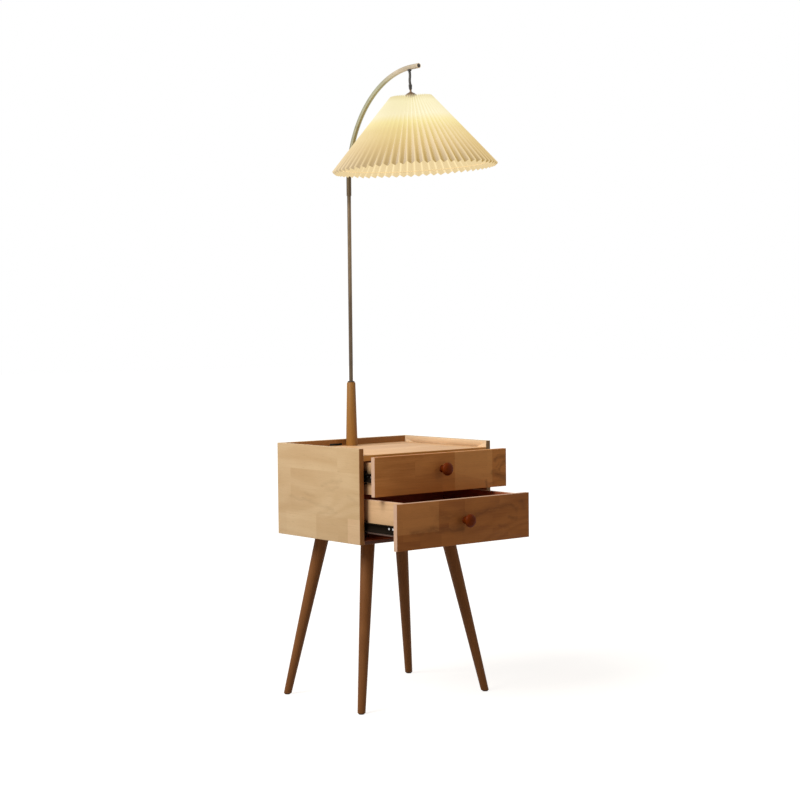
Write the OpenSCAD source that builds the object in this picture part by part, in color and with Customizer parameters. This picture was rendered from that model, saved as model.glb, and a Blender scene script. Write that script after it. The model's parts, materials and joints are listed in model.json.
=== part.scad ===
// Floor lamp standing on a small two-drawer side table.
// Millimetres, Z up. The floor is Z = 0 and the drawers open towards -Y.
// The rest pose has both drawers part open and the shade hanging a little askew.

/* [Cabinet] */
// Width of the cabinet and of both drawer fronts
cabinet_w = 420; // [340:1:520]
// Depth of the side panels from front edge to back
cabinet_d = 338; // [328:1:420]
// Height of the cabinet's underside above the floor
leg_h = 410; // [300:1:520]
// Thickness of the side, back and top boards
board_t = 14; // [12:0.5:18]
// Thickness of the bottom board
bottom_t = 9; // [8:0.5:14]
// Height of the raised edge round three sides of the top
lip_h = 16; // [12:1:30]
// Gap between the upper front and the level of the top surface
top_reveal = 1; // [0.5:0.5:5]
// How far the lower front hangs below the cabinet
front_drop = 2.5; // [0:0.5:4]

/* [Drawers] */
// Height of the upper drawer front
upper_front_h = 94.5; // [84:0.5:140]
// Height of the lower drawer front
lower_front_h = 110.5; // [90:0.5:150]
// Gap between the two fronts
front_gap = 10.5; // [4:0.5:16]
// Thickness of the drawer fronts
front_t = 13; // [11:0.5:18]
// How far the upper drawer is open in the rest pose
upper_open = 46; // [10:1:180]
// How far the lower drawer is open in the rest pose
lower_open = 128; // [10:1:180]
// Length of the drawer boxes behind the front
box_len = 280; // [262:1:284]
// Thickness of the drawer box sides and backs
box_t = 12; // [10:0.5:15]
// Gap between the upper box and the top board
box_head_gap = 4; // [2:0.5:8]
// Gap between the lower box and the bottom board
box_foot_gap = 17; // [8:1:20]
// Thickness of the drawer bottoms
floor_t = 5; // [3:0.5:6]
// Height of a drawer bottom above the lower edge of its box
floor_up = 8; // [5:1:12]
// Depth of the grooves that hold a drawer bottom
groove = 5; // [3:0.5:6]

/* [Knobs] */
// Diameter of the knob heads
knob_d = 32; // [24:1:44]
// How far a knob stands out from its front
knob_h = 28; // [20:1:34]
// Diameter of the knob necks
knob_neck_d = 16; // [11:1:20]
// Height of the upper knob above the lower edge of its front
upper_knob_up = 56; // [30:0.5:60]
// Height of the lower knob above the lower edge of its front
lower_knob_up = 58; // [30:0.5:70]
// Diameter of the knob screws
knob_screw_d = 4; // [3:0.5:5]

/* [Slides] */
// Length of each rail
rail_len = 250; // [240:1:258]
// Full travel of each drawer
travel = 190; // [184:1:200]
// Height of the cabinet rails
rail_h = 31; // [29:0.5:36]
// Width of a closed slide, which is the gap beside the box
rail_w = 12.7; // [12.5:0.1:14]
// Wall thickness of the rails
rail_t = 1.2; // [1:0.1:1.4]
// Diameter of the bearing balls
ball_d = 3.6; // [3:0.1:3.9]
// Number of balls in each row
balls = 5; // [3:1:6]
// Thickness of the ball cages
cage_t = 0.8; // [0.6:0.1:0.9]
// Height of the upper slides above the lower edge of their box
upper_rail_up = 40.5; // [25:0.5:45]
// Height of the lower slides above the lower edge of their box
lower_rail_up = 16; // [13.5:0.5:50]
// Diameter of the slide screws
rail_screw_d = 3.5; // [3:0.5:4]

/* [Legs] */
// Leg diameter under the cabinet
leg_top_d = 35.5; // [26:0.5:42]
// Leg diameter at the floor
leg_foot_d = 19.5; // [14:0.5:26]
// Distance of the feet inside the cabinet's sides, from the middle of a foot
foot_in_x = 10.5; // [0:0.5:40]
// Distance of the feet inside the cabinet's front and back edges
foot_in_y = 15.5; // [0:0.5:40]
// Distance of the leg tops inside the cabinet's sides, from the middle of a leg
leg_in_x = 84; // [60:1:100]
// Distance of the leg tops inside the cabinet's front and back edges
leg_in_y = 77; // [50:1:95]
// Thickness of the foot pads
pad_t = 3; // [2:0.5:6]
// Diameter of the foot pads
pad_d = 15; // [10:1:17]
// Diameter of the bolts that hold the legs
leg_bolt_d = 8; // [6:1:10]
// Outer diameter of the threaded inserts in the bottom board
insert_d = 11.5; // [11:0.5:14]
// Depth of a leg bolt inside its leg
leg_bolt_in = 30; // [15:1:50]

/* [Lamp pole] */
// Distance of the pole's axis in front of the cabinet's back
pole_back = 36; // [32:1:44]
// Outer diameter of the pole
pole_d = 10; // [9:0.5:14]
// Wall thickness of the pole
pole_wall = 1; // [0.8:0.1:1.2]
// Height of the wooden post
post_h = 164; // [100:1:240]
// Post diameter on the table
post_foot_d = 30.5; // [26:0.5:40]
// Post diameter at its top
post_top_d = 22; // [20:0.5:28]
// Depth of the shallow recess that holds the post's foot
post_sink = 1; // [0.5:0.5:3]
// Height of the collar on the post
collar_h = 3; // [2:0.5:8]
// Diameter of the collar on the post
collar_d = 18; // [16:0.5:20]
// Height of the arm's lower end above the floor
joint_z = 1268; // [1000:1:1400]
// Length of pole inside the arm
joint_len = 29; // [25:1:80]
// Diameter of the lamp cable and of the pendant cord
cable_d = 6; // [4.5:0.1:6.2]

/* [Arm] */
// Wall thickness of the arm tube
arm_wall = 1.2; // [1:0.1:2]
// Radius of the arm's bend on its centre line
arm_r = 262; // [215:1:330]
// Length of the straight end of the arm
arm_end = 24; // [20:1:90]
// Distance of the cord's exit from the tip of the arm
exit_in = 36; // [28:1:40]
// Length of the end plug outside the tube
cap_len = 1; // [0.5:0.5:3]
// Outer diameter of the cord bush
bush_d = 10; // [9:0.5:11]

/* [Pendant] */
// Sideways lean of the hanging shade in the rest pose
lean_side = 2.5; // [0:0.1:6]
// Forward lean of the hanging shade in the rest pose
lean_front = 1.4; // [0:0.1:5]
// Length of the hanging cord
cord_len = 33; // [25:1:80]
// Length of the cord grip
grip_len = 12; // [8:1:25]
// Diameter of the cord grip
grip_d = 9; // [8.5:0.5:12]
// Diameter of the lampholder
holder_d = 33; // [32:0.5:44]
// Length of the thin neck above the lampholder
neck_len = 7; // [4:1:20]
// Height of the domed top of the lampholder
dome_h = 14; // [8:1:20]
// Height of the lampholder cap's straight wall
cap_wall_h = 8; // [5:1:15]

/* [Shade] */
// Diameter of the shade at its rim
shade_d = 411; // [300:1:440]
// Diameter of the shade at its top
shade_top_d = 104; // [100:1:180]
// Height of the shade along its outer folds
shade_h = 175; // [150:1:220]
// Number of pleats
pleats = 64; // [56:1:72]
// Width of one pleat face from fold to fold
pleat_face = 14; // [12:0.5:16]
// Thickness of the shade's cloth
skin_t = 0.6; // [0.5:0.05:0.8]
// Distance of the shade's top below the top of the lampholder's dome
shade_drop = 9.5; // [7:0.5:14]
// Diameter of the wire in the shade's frame
wire_d = 3; // [2:0.5:3.5]
// Number of arms on the shade's spider
arms = 3; // [3:1:4]

/* [Bulb] */
// Diameter of the bulb
bulb_d = 60; // [45:1:80]
// Diameter of the bulb's screw cap
bulb_cap_d = 26; // [24:0.5:27]
// Length of the bulb's screw cap
bulb_cap_h = 24; // [20:1:28]
// Thickness of the bulb's glass
glass_t = 1; // [0.8:0.1:1.5]

/* [Back] */
// Height of the cord inlet above the cabinet's underside
inlet_up = 60; // [40:1:90]
// Bore of the cord inlet
inlet_bore = 7; // [6:0.1:8]
// Outer diameter of the inlet's sleeve
inlet_d = 12; // [10:0.5:14]
// How far the inlet stands out behind the cabinet
inlet_out = 4; // [2:0.5:8]
// Width of the cable slot in the back panel
slot_w = 40; // [20:1:50]
// Height of the cable slot above the top surface
slot_h = 6; // [5:0.5:11]
// Distance of the cable slot's middle left of the pole
slot_x = 35; // [30:1:90]
// Wall thickness of the slot's lining
lining_t = 1.2; // [1:0.1:1.5]
// How far the two flaps inside the lining overlap
flap_lap = 1; // [0.5:0.1:2]

/* [Fits] */
// Clearance of a pin, screw or dowel in its hole, on the radius
fit = 0.05; // [0.02:0.01:0.1]
// Clearance between a soft or curved piece and what carries it
seat = 0.3; // [0.2:0.05:0.4]
// Clearance of a drawer bottom in its groove
groove_fit = 0.1; // [0.05:0.05:0.2]
// Dowel diameter
dowel_d = 6; // [5:0.5:8]
// Dowel length
dowel_len = 26; // [22:1:34]
// Depth of a dowel inside a side panel
dowel_in = 9; // [6:0.5:10]

/* [Hidden] */
$fn = 64;
eps = 0.01;

// Levels
front_foot_z = leg_h - front_drop;
lower_top_z = front_foot_z + lower_front_h;
upper_foot_z = lower_top_z + front_gap;
upper_top_z = upper_foot_z + upper_front_h;
surface_z = upper_top_z + top_reveal;
top_z = surface_z + lip_h;
top_under_z = surface_z - board_t;
floor_top_z = leg_h + bottom_t;

// Plan: the whole object is centred on the origin from front to back
cabinet_y = (lower_open + front_t + knob_h - inlet_out) / 2;
front_y = cabinet_y - cabinet_d / 2;
back_y = cabinet_y + cabinet_d / 2;
back_in_y = back_y - board_t;
inner_x = cabinet_w / 2 - board_t;
pole_y = back_y - pole_back;

// Drawer boxes
box_w = 2 * (inner_x - rail_w);
box_step = 1;
lower_box_z = floor_top_z + box_foot_gap;
lower_box_top = lower_top_z - box_step;
upper_box_z = upper_foot_z + box_step;
upper_box_top = top_under_z - box_head_gap;
knob_screw_in = 12;
knob_screw_head_d = 8;
knob_screw_head_h = 2.5;

// Slides
rail_back = 1;
flange_w = 8.2;
lip_up = 1.2;
lip_t = 0.9;
inner_tip = 3.6;
web_half = 5;
shoulder = 3;
race = ball_d + 0.2;
inner_half = rail_h / 2 - rail_t - race;
ball_z = rail_h / 2 - rail_t - race / 2;
ball_x = 5.6;
cage_x = 2.1;
cage_end = 8.2;
cage_len = rail_len - travel;
ball_pitch = (cage_len - 12) / (balls - 1);
ball_play = 0.15;
rail_screw_y = [30, 130, 220];
box_screw_y = [32, 47, 200];
box_screw_up = 2;
rail_screw_len = 11;
drawer_screw_in = box_t - groove - 1;
rail_head_d = 5.5;
flat_head_h = 0.6;
pan_head_h = 1.3;

// Legs
foot_x = cabinet_w / 2 - foot_in_x;
foot_y = cabinet_d / 2 - foot_in_y;
leg_top_x = cabinet_w / 2 - leg_in_x;
leg_top_y = cabinet_d / 2 - leg_in_y;
leg_dx = foot_x - leg_top_x;
leg_dy = foot_y - leg_top_y;
leg_axis_len = norm([leg_dx, leg_dy, leg_h]);
leg_tilt = acos(leg_h / leg_axis_len);
insert_len = bottom_t - 3.6;
leg_bolt_up = bottom_t - 2;

// Slot
flap_t = 1.2;
flap_gap = 0.8;
flap_h = (slot_h - lining_t + flap_lap) / 2;

// Dowels
dowel_ys = [-0.36 * cabinet_d, 0, 0.3 * cabinet_d];

// Pole, arm and cable
thread_end = 13;
washer_t = 2;
washer_d = 24;
nut_t = 8;
nut_d = 19;
pole_foot_z = top_under_z - thread_end;
pole_top_z = joint_z + joint_len;
plug_len = 6;
end_plug_len = 10;
arm_bore = pole_d + 2 * fit;
arm_d = arm_bore + 2 * arm_wall;
bend_z = pole_top_z + plug_len + 1;
arm_z = bend_z + arm_r;
bend_end_y = pole_y - arm_r;
arm_tip_y = bend_end_y - arm_end;
exit_y = arm_tip_y + exit_in;
cable_r = cable_d / 2;
cable_gap = 0.3;
inlet_z = leg_h + inlet_up;
inlet_nut_t = 4;
inlet_nut_d = 18;
inlet_flange_t = inlet_out;
inlet_flange_d = 18;
cable_bend_r = 12;
exit_bend_r = 5.2;

// The cable leaves the arm's centre line at this angle of the bend, or after a straight run
exit_a = acos(max(0, (exit_y + exit_bend_r - bend_end_y) / (arm_r - exit_bend_r)));
exit_run = max(0, bend_end_y - exit_y - exit_bend_r);
exit_turn_y = bend_end_y + (arm_r - exit_bend_r) * cos(exit_a) - exit_run;
exit_turn_z = bend_z + (arm_r - exit_bend_r) * sin(exit_a);

// Bush under the arm, which ends at the cord's pivot
bush_drop = 9;
bush_bore = cable_d + 0.8;
socket_r = cable_r + 0.45;
pivot = [0, exit_y, arm_z - bush_drop];

// Pendant, measured down along the cord from the pivot
grip_t = cord_len;
neck_t = grip_t + grip_len;
dome_t = neck_t + neck_len;
cap_t = dome_t + dome_h;
holder_t = cap_t + cap_wall_h;
holder_wall = 2;
flange_t = 4;
flange_d = holder_d + 4;
thread_d = holder_d - 2;
hub_t = holder_t + flange_t;
hub_h = 2.5;
hub_d = holder_d + 8;
ring_nut_t = hub_t + hub_h;
ring_nut_h = 7;
ring_nut_d = holder_d + 8;
holder_end_t = ring_nut_t + ring_nut_h + 12;
bulb_cap_t = holder_t + flange_t + 3;
glass_neck_t = bulb_cap_t + bulb_cap_h;
glass_neck_d = bulb_cap_d + 2;
bulb_mid_t = glass_neck_t + bulb_d * 0.78;

// Shade
shade_t = dome_t + shade_drop;
rim_r = shade_d / 2;
shade_top_r = shade_top_d / 2;
slope_len = norm([rim_r - shade_top_r, shade_h]);
slope_cos = shade_h / slope_len;
slope_sin = (rim_r - shade_top_r) / slope_len;
shade_rows = 4;
hub_mid_t = hub_t + hub_h / 2;
rim_ring_u = 0.93;
rim_wire_d = wire_d - 0.5;

// Colours
wood = [0.80, 0.62, 0.42];
front_wood = [0.60, 0.40, 0.24];
leg_wood = [0.50, 0.33, 0.20];
knob_wood = [0.48, 0.24, 0.10];
post_wood = [0.72, 0.47, 0.24];
gold = [0.72, 0.64, 0.45];
black = [0.08, 0.08, 0.08];
zinc = [0.75, 0.76, 0.78];
brass = [0.78, 0.62, 0.32];
cloth = [0.97, 0.90, 0.72];

// Helpers

// A solid of the given outline, drawn in X and Z, from y0 to y0 + len
module along_y(y0, len) {
    translate([0, y0 + len, 0])
        rotate([90, 0, 0])
            linear_extrude(height = len) children();
}

// A cylinder along Y from y0 to y0 + len at a place in X and Z
module pin_y(x, y0, z, r, len) {
    translate([x, y0 + len, z])
        rotate([90, 0, 0]) cylinder(r = r, h = len);
}

// A cylinder along X from x0 to x0 + len
module pin_x(x0, y, z, r, len) {
    translate([x0, y, z])
        rotate([0, 90, 0]) cylinder(r = r, h = len);
}

// A box between two corners
module block(low, high) {
    translate(low) cube(high - low);
}

module both_sides() {
    children();
    mirror([1, 0, 0]) children();
}

// Points of an arc, for outlines that are turned
function arc(cx, cy, r, a0, a1, n) = [
    for (i = [0:n]) let (a = a0 + (a1 - a0) * i / n) [cx + r * cos(a), cy + r * sin(a)]
];

// Dowel places at one end of a board whose middle lies at height z
module dowel_set(z, r, x0, len) {
    for (dy = dowel_ys)
        pin_x(x0, cabinet_y + dy, z, r, len);
}

module dowel_holes() {
    for (z = [surface_z - board_t / 2, leg_h + bottom_t / 2])
        both_sides()
            dowel_set(z, dowel_d / 2 + fit, inner_x - (dowel_len - dowel_in), dowel_len);
}

// Cabinet

module side_panel() {
    difference() {
        block([inner_x, front_y, leg_h], [cabinet_w / 2, back_y, top_z]);
        dowel_holes();
        cabinet_screw_holes();
    }
}

module left_side_panel() {
    color(wood) mirror([1, 0, 0]) side_panel();
}

module right_side_panel() {
    color(wood) side_panel();
}

module slot_shape(grow) {
    translate([-slot_x - slot_w / 2 + grow, surface_z + grow])
        square([slot_w - 2 * grow, slot_h - 2 * grow]);
}

module back_panel() {
    color(wood)
    difference() {
        block([-inner_x, back_in_y, leg_h], [inner_x, back_y, top_z]);
        along_y(back_in_y - 1, board_t + 2) slot_shape(0);
        pin_y(0, back_in_y - 1, inlet_z, inlet_d / 2 + fit, board_t + 2);
    }
}

module cable_slot_lining() {
    color(black) {
        along_y(back_in_y, board_t)
            difference() {
                slot_shape(fit);
                slot_shape(lining_t);
            }
        for (upper = [0, 1])
            along_y(back_in_y + board_t / 2 + upper * (flap_t + flap_gap), flap_t)
                translate([-slot_x - (slot_w - lining_t) / 2,
                           surface_z + lining_t / 2 + upper * (slot_h - lining_t - flap_h)])
                    square([slot_w - lining_t, flap_h]);
    }
}

module top_board() {
    color(wood)
    difference() {
        block([-inner_x, front_y, top_under_z], [inner_x, back_in_y, surface_z]);
        dowel_holes();
        translate([0, pole_y, top_under_z - 1])
            cylinder(r = pole_d / 2 + fit, h = board_t + 2);
        translate([0, pole_y, surface_z - post_sink])
            cylinder(r = post_foot_d / 2 + fit, h = board_t);
    }
}

module bottom_board() {
    color(wood)
    difference() {
        block([-inner_x, front_y, leg_h], [inner_x, back_in_y, floor_top_z]);
        dowel_holes();
        for (sx = [-1, 1], sy = [-1, 1])
            on_leg(sx, sy)
                translate([0, 0, leg_axis_len - 2 * bottom_t])
                    cylinder(r = insert_d / 2 + fit, h = 5 * bottom_t);
    }
}

module panel_dowels() {
    color(wood)
    for (z = [surface_z - board_t / 2, leg_h + bottom_t / 2])
        both_sides()
            dowel_set(z, dowel_d / 2, inner_x - (dowel_len - dowel_in) + fit, dowel_len - 2 * fit);
}

// Legs

// Places its child with +Z along a leg's axis, from the floor up
module on_leg(sx, sy) {
    translate([sx * foot_x, cabinet_y + sy * foot_y, 0])
        rotate([0, 0, atan2(-sy * leg_dy, -sx * leg_dx)])
            rotate([0, leg_tilt, 0]) children();
}

module leg(sx, sy) {
    color(leg_wood)
    difference() {
        intersection() {
            on_leg(sx, sy)
                translate([0, 0, -leg_top_d])
                    cylinder(d1 = leg_foot_d - leg_top_d * (leg_top_d - leg_foot_d) / leg_axis_len,
                             d2 = leg_top_d + leg_top_d * (leg_top_d - leg_foot_d) / leg_axis_len,
                             h = leg_axis_len + 2 * leg_top_d);
            translate([0, cabinet_y, (pad_t + leg_h) / 2])
                cube([3 * foot_x, 3 * foot_y, leg_h - pad_t], center = true);
        }
        on_leg(sx, sy)
            translate([0, 0, leg_axis_len - leg_bolt_in])
                cylinder(d = leg_bolt_d + 2 * fit, h = 2 * leg_bolt_in);
    }
}

module leg_front_left() leg(-1, -1);
module leg_front_right() leg(1, -1);
module leg_rear_left() leg(-1, 1);
module leg_rear_right() leg(1, 1);

module leg_inserts() {
    color(brass)
    for (sx = [-1, 1], sy = [-1, 1])
        on_leg(sx, sy)
            translate([0, 0, leg_axis_len + bottom_t / 2 / cos(leg_tilt) - insert_len / 2])
                difference() {
                    cylinder(d = insert_d, h = insert_len);
                    translate([0, 0, -1]) cylinder(d = leg_bolt_d + 2 * fit, h = insert_len + 2);
                }
}

module leg_bolts() {
    color(zinc)
    for (sx = [-1, 1], sy = [-1, 1])
        on_leg(sx, sy)
            translate([0, 0, leg_axis_len - leg_bolt_in])
                cylinder(d = leg_bolt_d, h = leg_bolt_in + leg_bolt_up);
}

module foot_pads() {
    color(black)
    for (sx = [-1, 1], sy = [-1, 1])
        translate([sx * foot_x, cabinet_y + sy * foot_y, 0])
            cylinder(d = pad_d, h = pad_t);
}

// Slides: profiles are drawn for the right side, with x measured inwards from the side panel

module cabinet_rail_profile() {
    half = rail_h / 2;
    translate([0, -half]) square([rail_t, rail_h]);
    for (s = [-1, 1]) {
        translate([0, s * (half - rail_t / 2) - rail_t / 2])
            square([flange_w + lip_t + 0.3, rail_t]);
        translate([flange_w + 0.3, s * (half - rail_t - lip_up / 2) - lip_up / 2])
            square([lip_t, lip_up + eps]);
    }
}

// The web lies on the drawer box, and slopes away from it to the flange that the balls run on
module drawer_rail_profile() {
    web = rail_w - rail_t;
    race_x = web - shoulder;
    translate([web, -web_half]) square([rail_t, 2 * web_half]);
    for (s = [-1, 1]) {
        polygon([
            [web, s * web_half], [rail_w, s * web_half], [race_x + rail_t, s * (web_half + shoulder)],
            [race_x + rail_t, s * inner_half], [race_x, s * inner_half], [race_x, s * (web_half + shoulder)]
        ]);
        translate([inner_tip, s * (inner_half - rail_t / 2) - rail_t / 2])
            square([race_x + rail_t - inner_tip, rail_t]);
    }
}

module cage_profile() {
    edge = ball_z + cage_t / 2;
    translate([cage_x, -edge]) square([cage_t, 2 * edge]);
    for (s = [-1, 1])
        translate([cage_x, s * ball_z - cage_t / 2]) square([cage_end - cage_x, cage_t]);
}

// Turns a profile's x, measured inwards from the side panel, into X on the right side
module from_right_panel() {
    translate([inner_x, 0, 0]) mirror([1, 0, 0]) children();
}

rail_levels = [lower_box_z + lower_rail_up, upper_box_z + upper_rail_up];

module cabinet_rails() {
    color(black)
    both_sides()
        for (z = rail_levels)
            from_right_panel()
                difference() {
                    translate([0, 0, z]) along_y(front_y + rail_back, rail_len) cabinet_rail_profile();
                    for (y = rail_screw_y)
                        pin_x(-1, front_y + y, z, rail_screw_d / 2 + fit, rail_t + 2);
                }
}

module cabinet_screw_holes() {
    for (z = rail_levels, y = rail_screw_y)
        pin_x(inner_x - 1, front_y + y, z, rail_screw_d / 2 + fit, rail_screw_len - rail_t + 1);
}

module cabinet_rail_screws() {
    color(zinc)
    both_sides()
        for (z = rail_levels, y = rail_screw_y)
            from_right_panel() {
                pin_x(rail_t - rail_screw_len + fit, front_y + y, z, rail_screw_d / 2, rail_screw_len);
                pin_x(rail_t, front_y + y, z, rail_head_d / 2, flat_head_h);
            }
}

// Drawers: y is measured back from the rear face of the drawer front

module in_drawer(open) {
    translate([0, front_y - open, 0]) children();
}

module drawer_front(open, foot_z, top, box_z, knob_up) {
    color(front_wood)
    in_drawer(open)
        difference() {
            block([-cabinet_w / 2, -front_t, foot_z], [cabinet_w / 2, 0, top]);
            floor_shape(box_z, groove_fit);
            pin_y(0, -front_t - 1, foot_z + knob_up, knob_screw_d / 2 + fit, front_t + 2);
        }
}

// The drawer bottom, or the groove for it when grown by a clearance
module floor_shape(box_z, grow) {
    half = box_w / 2 - box_t + groove - groove_fit + grow;
    block([-half, -groove + groove_fit - grow, box_z + floor_up - grow],
          [half, box_len, box_z + floor_up + floor_t + grow]);
}

module drawer_side(open, box_z, box_top, rail_up) {
    color(wood)
    in_drawer(open)
        difference() {
            block([box_w / 2 - box_t, 0, box_z], [box_w / 2, box_len, box_top]);
            translate([0, -1, 0]) floor_shape(box_z, groove_fit);
            translate([0, 1, 0]) floor_shape(box_z, groove_fit);
            for (y = box_screw_y)
                pin_x(box_w / 2 - drawer_screw_in - fit, y, box_z + rail_up + box_screw_up,
                      rail_screw_d / 2 + fit, rail_screw_len);
        }
}

module drawer_back(open, box_z, box_top) {
    color(wood)
    in_drawer(open)
        block([-box_w / 2 + box_t, box_len - box_t, box_z + floor_up + floor_t],
              [box_w / 2 - box_t, box_len, box_top]);
}

module drawer_bottom(open, box_z) {
    color(wood)
    in_drawer(open) floor_shape(box_z, 0);
}

// Knob outline: x is the radius and y the distance out from the drawer front
function knob_outline() = let (
    neck = knob_neck_d / 2,
    head = knob_d / 2,
    edge = knob_h * 0.2,
    under = knob_h * 0.5,
    dome = head * 2.2
) concat(
    [[0, 0], [neck + 1, 0], [neck + 1, 1], [neck, 2.5], [neck, under - 3]],
    arc(neck + 3, under - 3, 3, 180, 90, 4),
    arc(head - edge, under + edge, edge, -90, 40, 8),
    [for (i = [6:-1:0]) let (x = (head - edge) * 0.15 * i) [x, knob_h - dome + sqrt(dome * dome - x * x)]]
);

module knob(open, z) {
    color(knob_wood)
    in_drawer(open)
        translate([0, -front_t, z])
            rotate([90, 0, 0])
                difference() {
                    rotate_extrude() polygon(knob_outline());
                    translate([0, 0, -1])
                        cylinder(d = knob_screw_d + 2 * fit, h = knob_screw_in + 1 + fit);
                }
}

module knob_screw(open, z) {
    color(zinc)
    in_drawer(open) {
        pin_y(0, -front_t - knob_screw_in, z, knob_screw_d / 2, front_t + knob_screw_in);
        pin_y(0, 0, z, knob_screw_head_d / 2, knob_screw_head_h);
    }
}

module drawer_rails(open, z) {
    color(black)
    in_drawer(open)
        both_sides()
            from_right_panel()
                difference() {
                    translate([0, 0, z]) along_y(rail_back, rail_len) drawer_rail_profile();
                    for (y = box_screw_y)
                        pin_x(rail_w - rail_t - 1, y, z + box_screw_up, rail_screw_d / 2 + fit, rail_t + 2);
                }
}

module drawer_rail_screws(open, z) {
    color(zinc)
    in_drawer(open)
        both_sides()
            from_right_panel()
                for (y = box_screw_y) {
                    pin_x(rail_w - rail_t, y, z + box_screw_up, rail_screw_d / 2, rail_t + drawer_screw_in);
                    pin_x(rail_w - rail_t - pan_head_h, y, z + box_screw_up, rail_head_d / 2, pan_head_h);
                }
}

// The cages run at half the speed of their drawer
module ball_cages(open, z) {
    first = rail_back + travel / 2;
    color(zinc)
    in_drawer(open / 2)
        both_sides()
            from_right_panel() {
                difference() {
                    translate([0, 0, z]) along_y(first, cage_len) cage_profile();
                    for (i = [0:balls - 1])
                        translate([ball_x, first + 6 + i * ball_pitch, z - rail_h])
                            cylinder(r = ball_d / 2 + ball_play, h = 2 * rail_h);
                }
                for (i = [0:balls - 1], s = [-1, 1])
                    translate([ball_x, first + 6 + i * ball_pitch, z + s * ball_z])
                        sphere(d = ball_d);
            }
}

module upper_drawer_front() drawer_front(upper_open, upper_foot_z, upper_top_z, upper_box_z, upper_knob_up);
module upper_drawer_right_side() drawer_side(upper_open, upper_box_z, upper_box_top, upper_rail_up);
module upper_drawer_left_side() mirror([1, 0, 0]) upper_drawer_right_side();
module upper_drawer_back() drawer_back(upper_open, upper_box_z, upper_box_top);
module upper_drawer_bottom() drawer_bottom(upper_open, upper_box_z);
module upper_knob() knob(upper_open, upper_foot_z + upper_knob_up);
module upper_knob_screw() knob_screw(upper_open, upper_foot_z + upper_knob_up);
module upper_drawer_rails() drawer_rails(upper_open, upper_box_z + upper_rail_up);
module upper_drawer_rail_screws() drawer_rail_screws(upper_open, upper_box_z + upper_rail_up);
module upper_ball_cages() ball_cages(upper_open, upper_box_z + upper_rail_up);

module lower_drawer_front() drawer_front(lower_open, front_foot_z, lower_top_z, lower_box_z, lower_knob_up);
module lower_drawer_right_side() drawer_side(lower_open, lower_box_z, lower_box_top, lower_rail_up);
module lower_drawer_left_side() mirror([1, 0, 0]) lower_drawer_right_side();
module lower_drawer_back() drawer_back(lower_open, lower_box_z, lower_box_top);
module lower_drawer_bottom() drawer_bottom(lower_open, lower_box_z);
module lower_knob() knob(lower_open, front_foot_z + lower_knob_up);
module lower_knob_screw() knob_screw(lower_open, front_foot_z + lower_knob_up);
module lower_drawer_rails() drawer_rails(lower_open, lower_box_z + lower_rail_up);
module lower_drawer_rail_screws() drawer_rail_screws(lower_open, lower_box_z + lower_rail_up);
module lower_ball_cages() ball_cages(lower_open, lower_box_z + lower_rail_up);

// Post and pole: the collar is fixed on the pole, and the nut under the top board clamps the post

module on_pole(z) {
    translate([0, pole_y, z]) children();
}

module lamp_post() {
    color(post_wood)
    on_pole(surface_z - post_sink)
        difference() {
            cylinder(d1 = post_foot_d, d2 = post_top_d, h = post_h + post_sink);
            translate([0, 0, -1]) cylinder(r = pole_d / 2 + fit, h = post_h + post_sink + 2);
        }
}

module post_collar() {
    color(black)
    on_pole(surface_z + post_h)
        difference() {
            cylinder(d = collar_d, h = collar_h);
            translate([0, 0, -1]) cylinder(r = pole_d / 2 + fit, h = collar_h + 2);
        }
}

module post_fasteners() {
    color(zinc)
    on_pole(top_under_z) {
        difference() {
            translate([0, 0, -washer_t]) cylinder(d = washer_d, h = washer_t);
            translate([0, 0, -washer_t - 1]) cylinder(r = pole_d / 2 + fit, h = washer_t + 2);
        }
        difference() {
            translate([0, 0, -washer_t - fit - nut_t]) cylinder(d = nut_d, h = nut_t, $fn = 6);
            translate([0, 0, -washer_t - nut_t - 1]) cylinder(r = pole_d / 2 + fit, h = nut_t + 2);
        }
    }
}

module lamp_pole() {
    color(gold)
    on_pole(pole_foot_z)
        difference() {
            cylinder(d = pole_d, h = pole_top_z - pole_foot_z);
            translate([0, 0, -1])
                cylinder(d = pole_d - 2 * pole_wall, h = pole_top_z - pole_foot_z + 2);
        }
}

// Lamp cable from the inlet, behind the drawers, up to the top of the pole
module lower_cable() {
    start_y = back_in_y;
    bend_y = pole_y + cable_bend_r;
    color(black) {
        pin_y(0, bend_y, inlet_z, cable_r, start_y - bend_y);
        translate([0, bend_y, inlet_z + cable_bend_r])
            rotate([90, 0, 90])
                rotate_extrude(angle = 90, start = 180)
                    translate([cable_bend_r, 0]) circle(r = cable_r);
        on_pole(inlet_z + cable_bend_r)
            cylinder(r = cable_r, h = pole_top_z - inlet_z - cable_bend_r);
    }
}

module cord_inlet() {
    color(black)
    difference() {
        union() {
            pin_y(0, back_in_y, inlet_z, inlet_d / 2, board_t + inlet_flange_t);
            pin_y(0, back_y, inlet_z, inlet_flange_d / 2, inlet_flange_t);
            pin_y(0, back_in_y - inlet_nut_t, inlet_z, inlet_nut_d / 2, inlet_nut_t);
        }
        pin_y(0, back_in_y, inlet_z, inlet_bore / 2, board_t + inlet_flange_t + 1);
        pin_y(0, back_in_y - inlet_nut_t - 1, inlet_z, cable_r + seat, inlet_nut_t + 2);
    }
}

// Arm

// A tube or rod of radius r along the arm's centre line, from z0 to the end at y1
module arm_path(r, z0, y1) {
    on_pole(z0) cylinder(r = r, h = bend_z - z0);
    translate([0, bend_end_y, bend_z])
        rotate([90, 0, 90])
            rotate_extrude(angle = 90)
                translate([arm_r, 0]) circle(r = r);
    pin_y(0, y1, arm_z, r, bend_end_y - y1);
}

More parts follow.
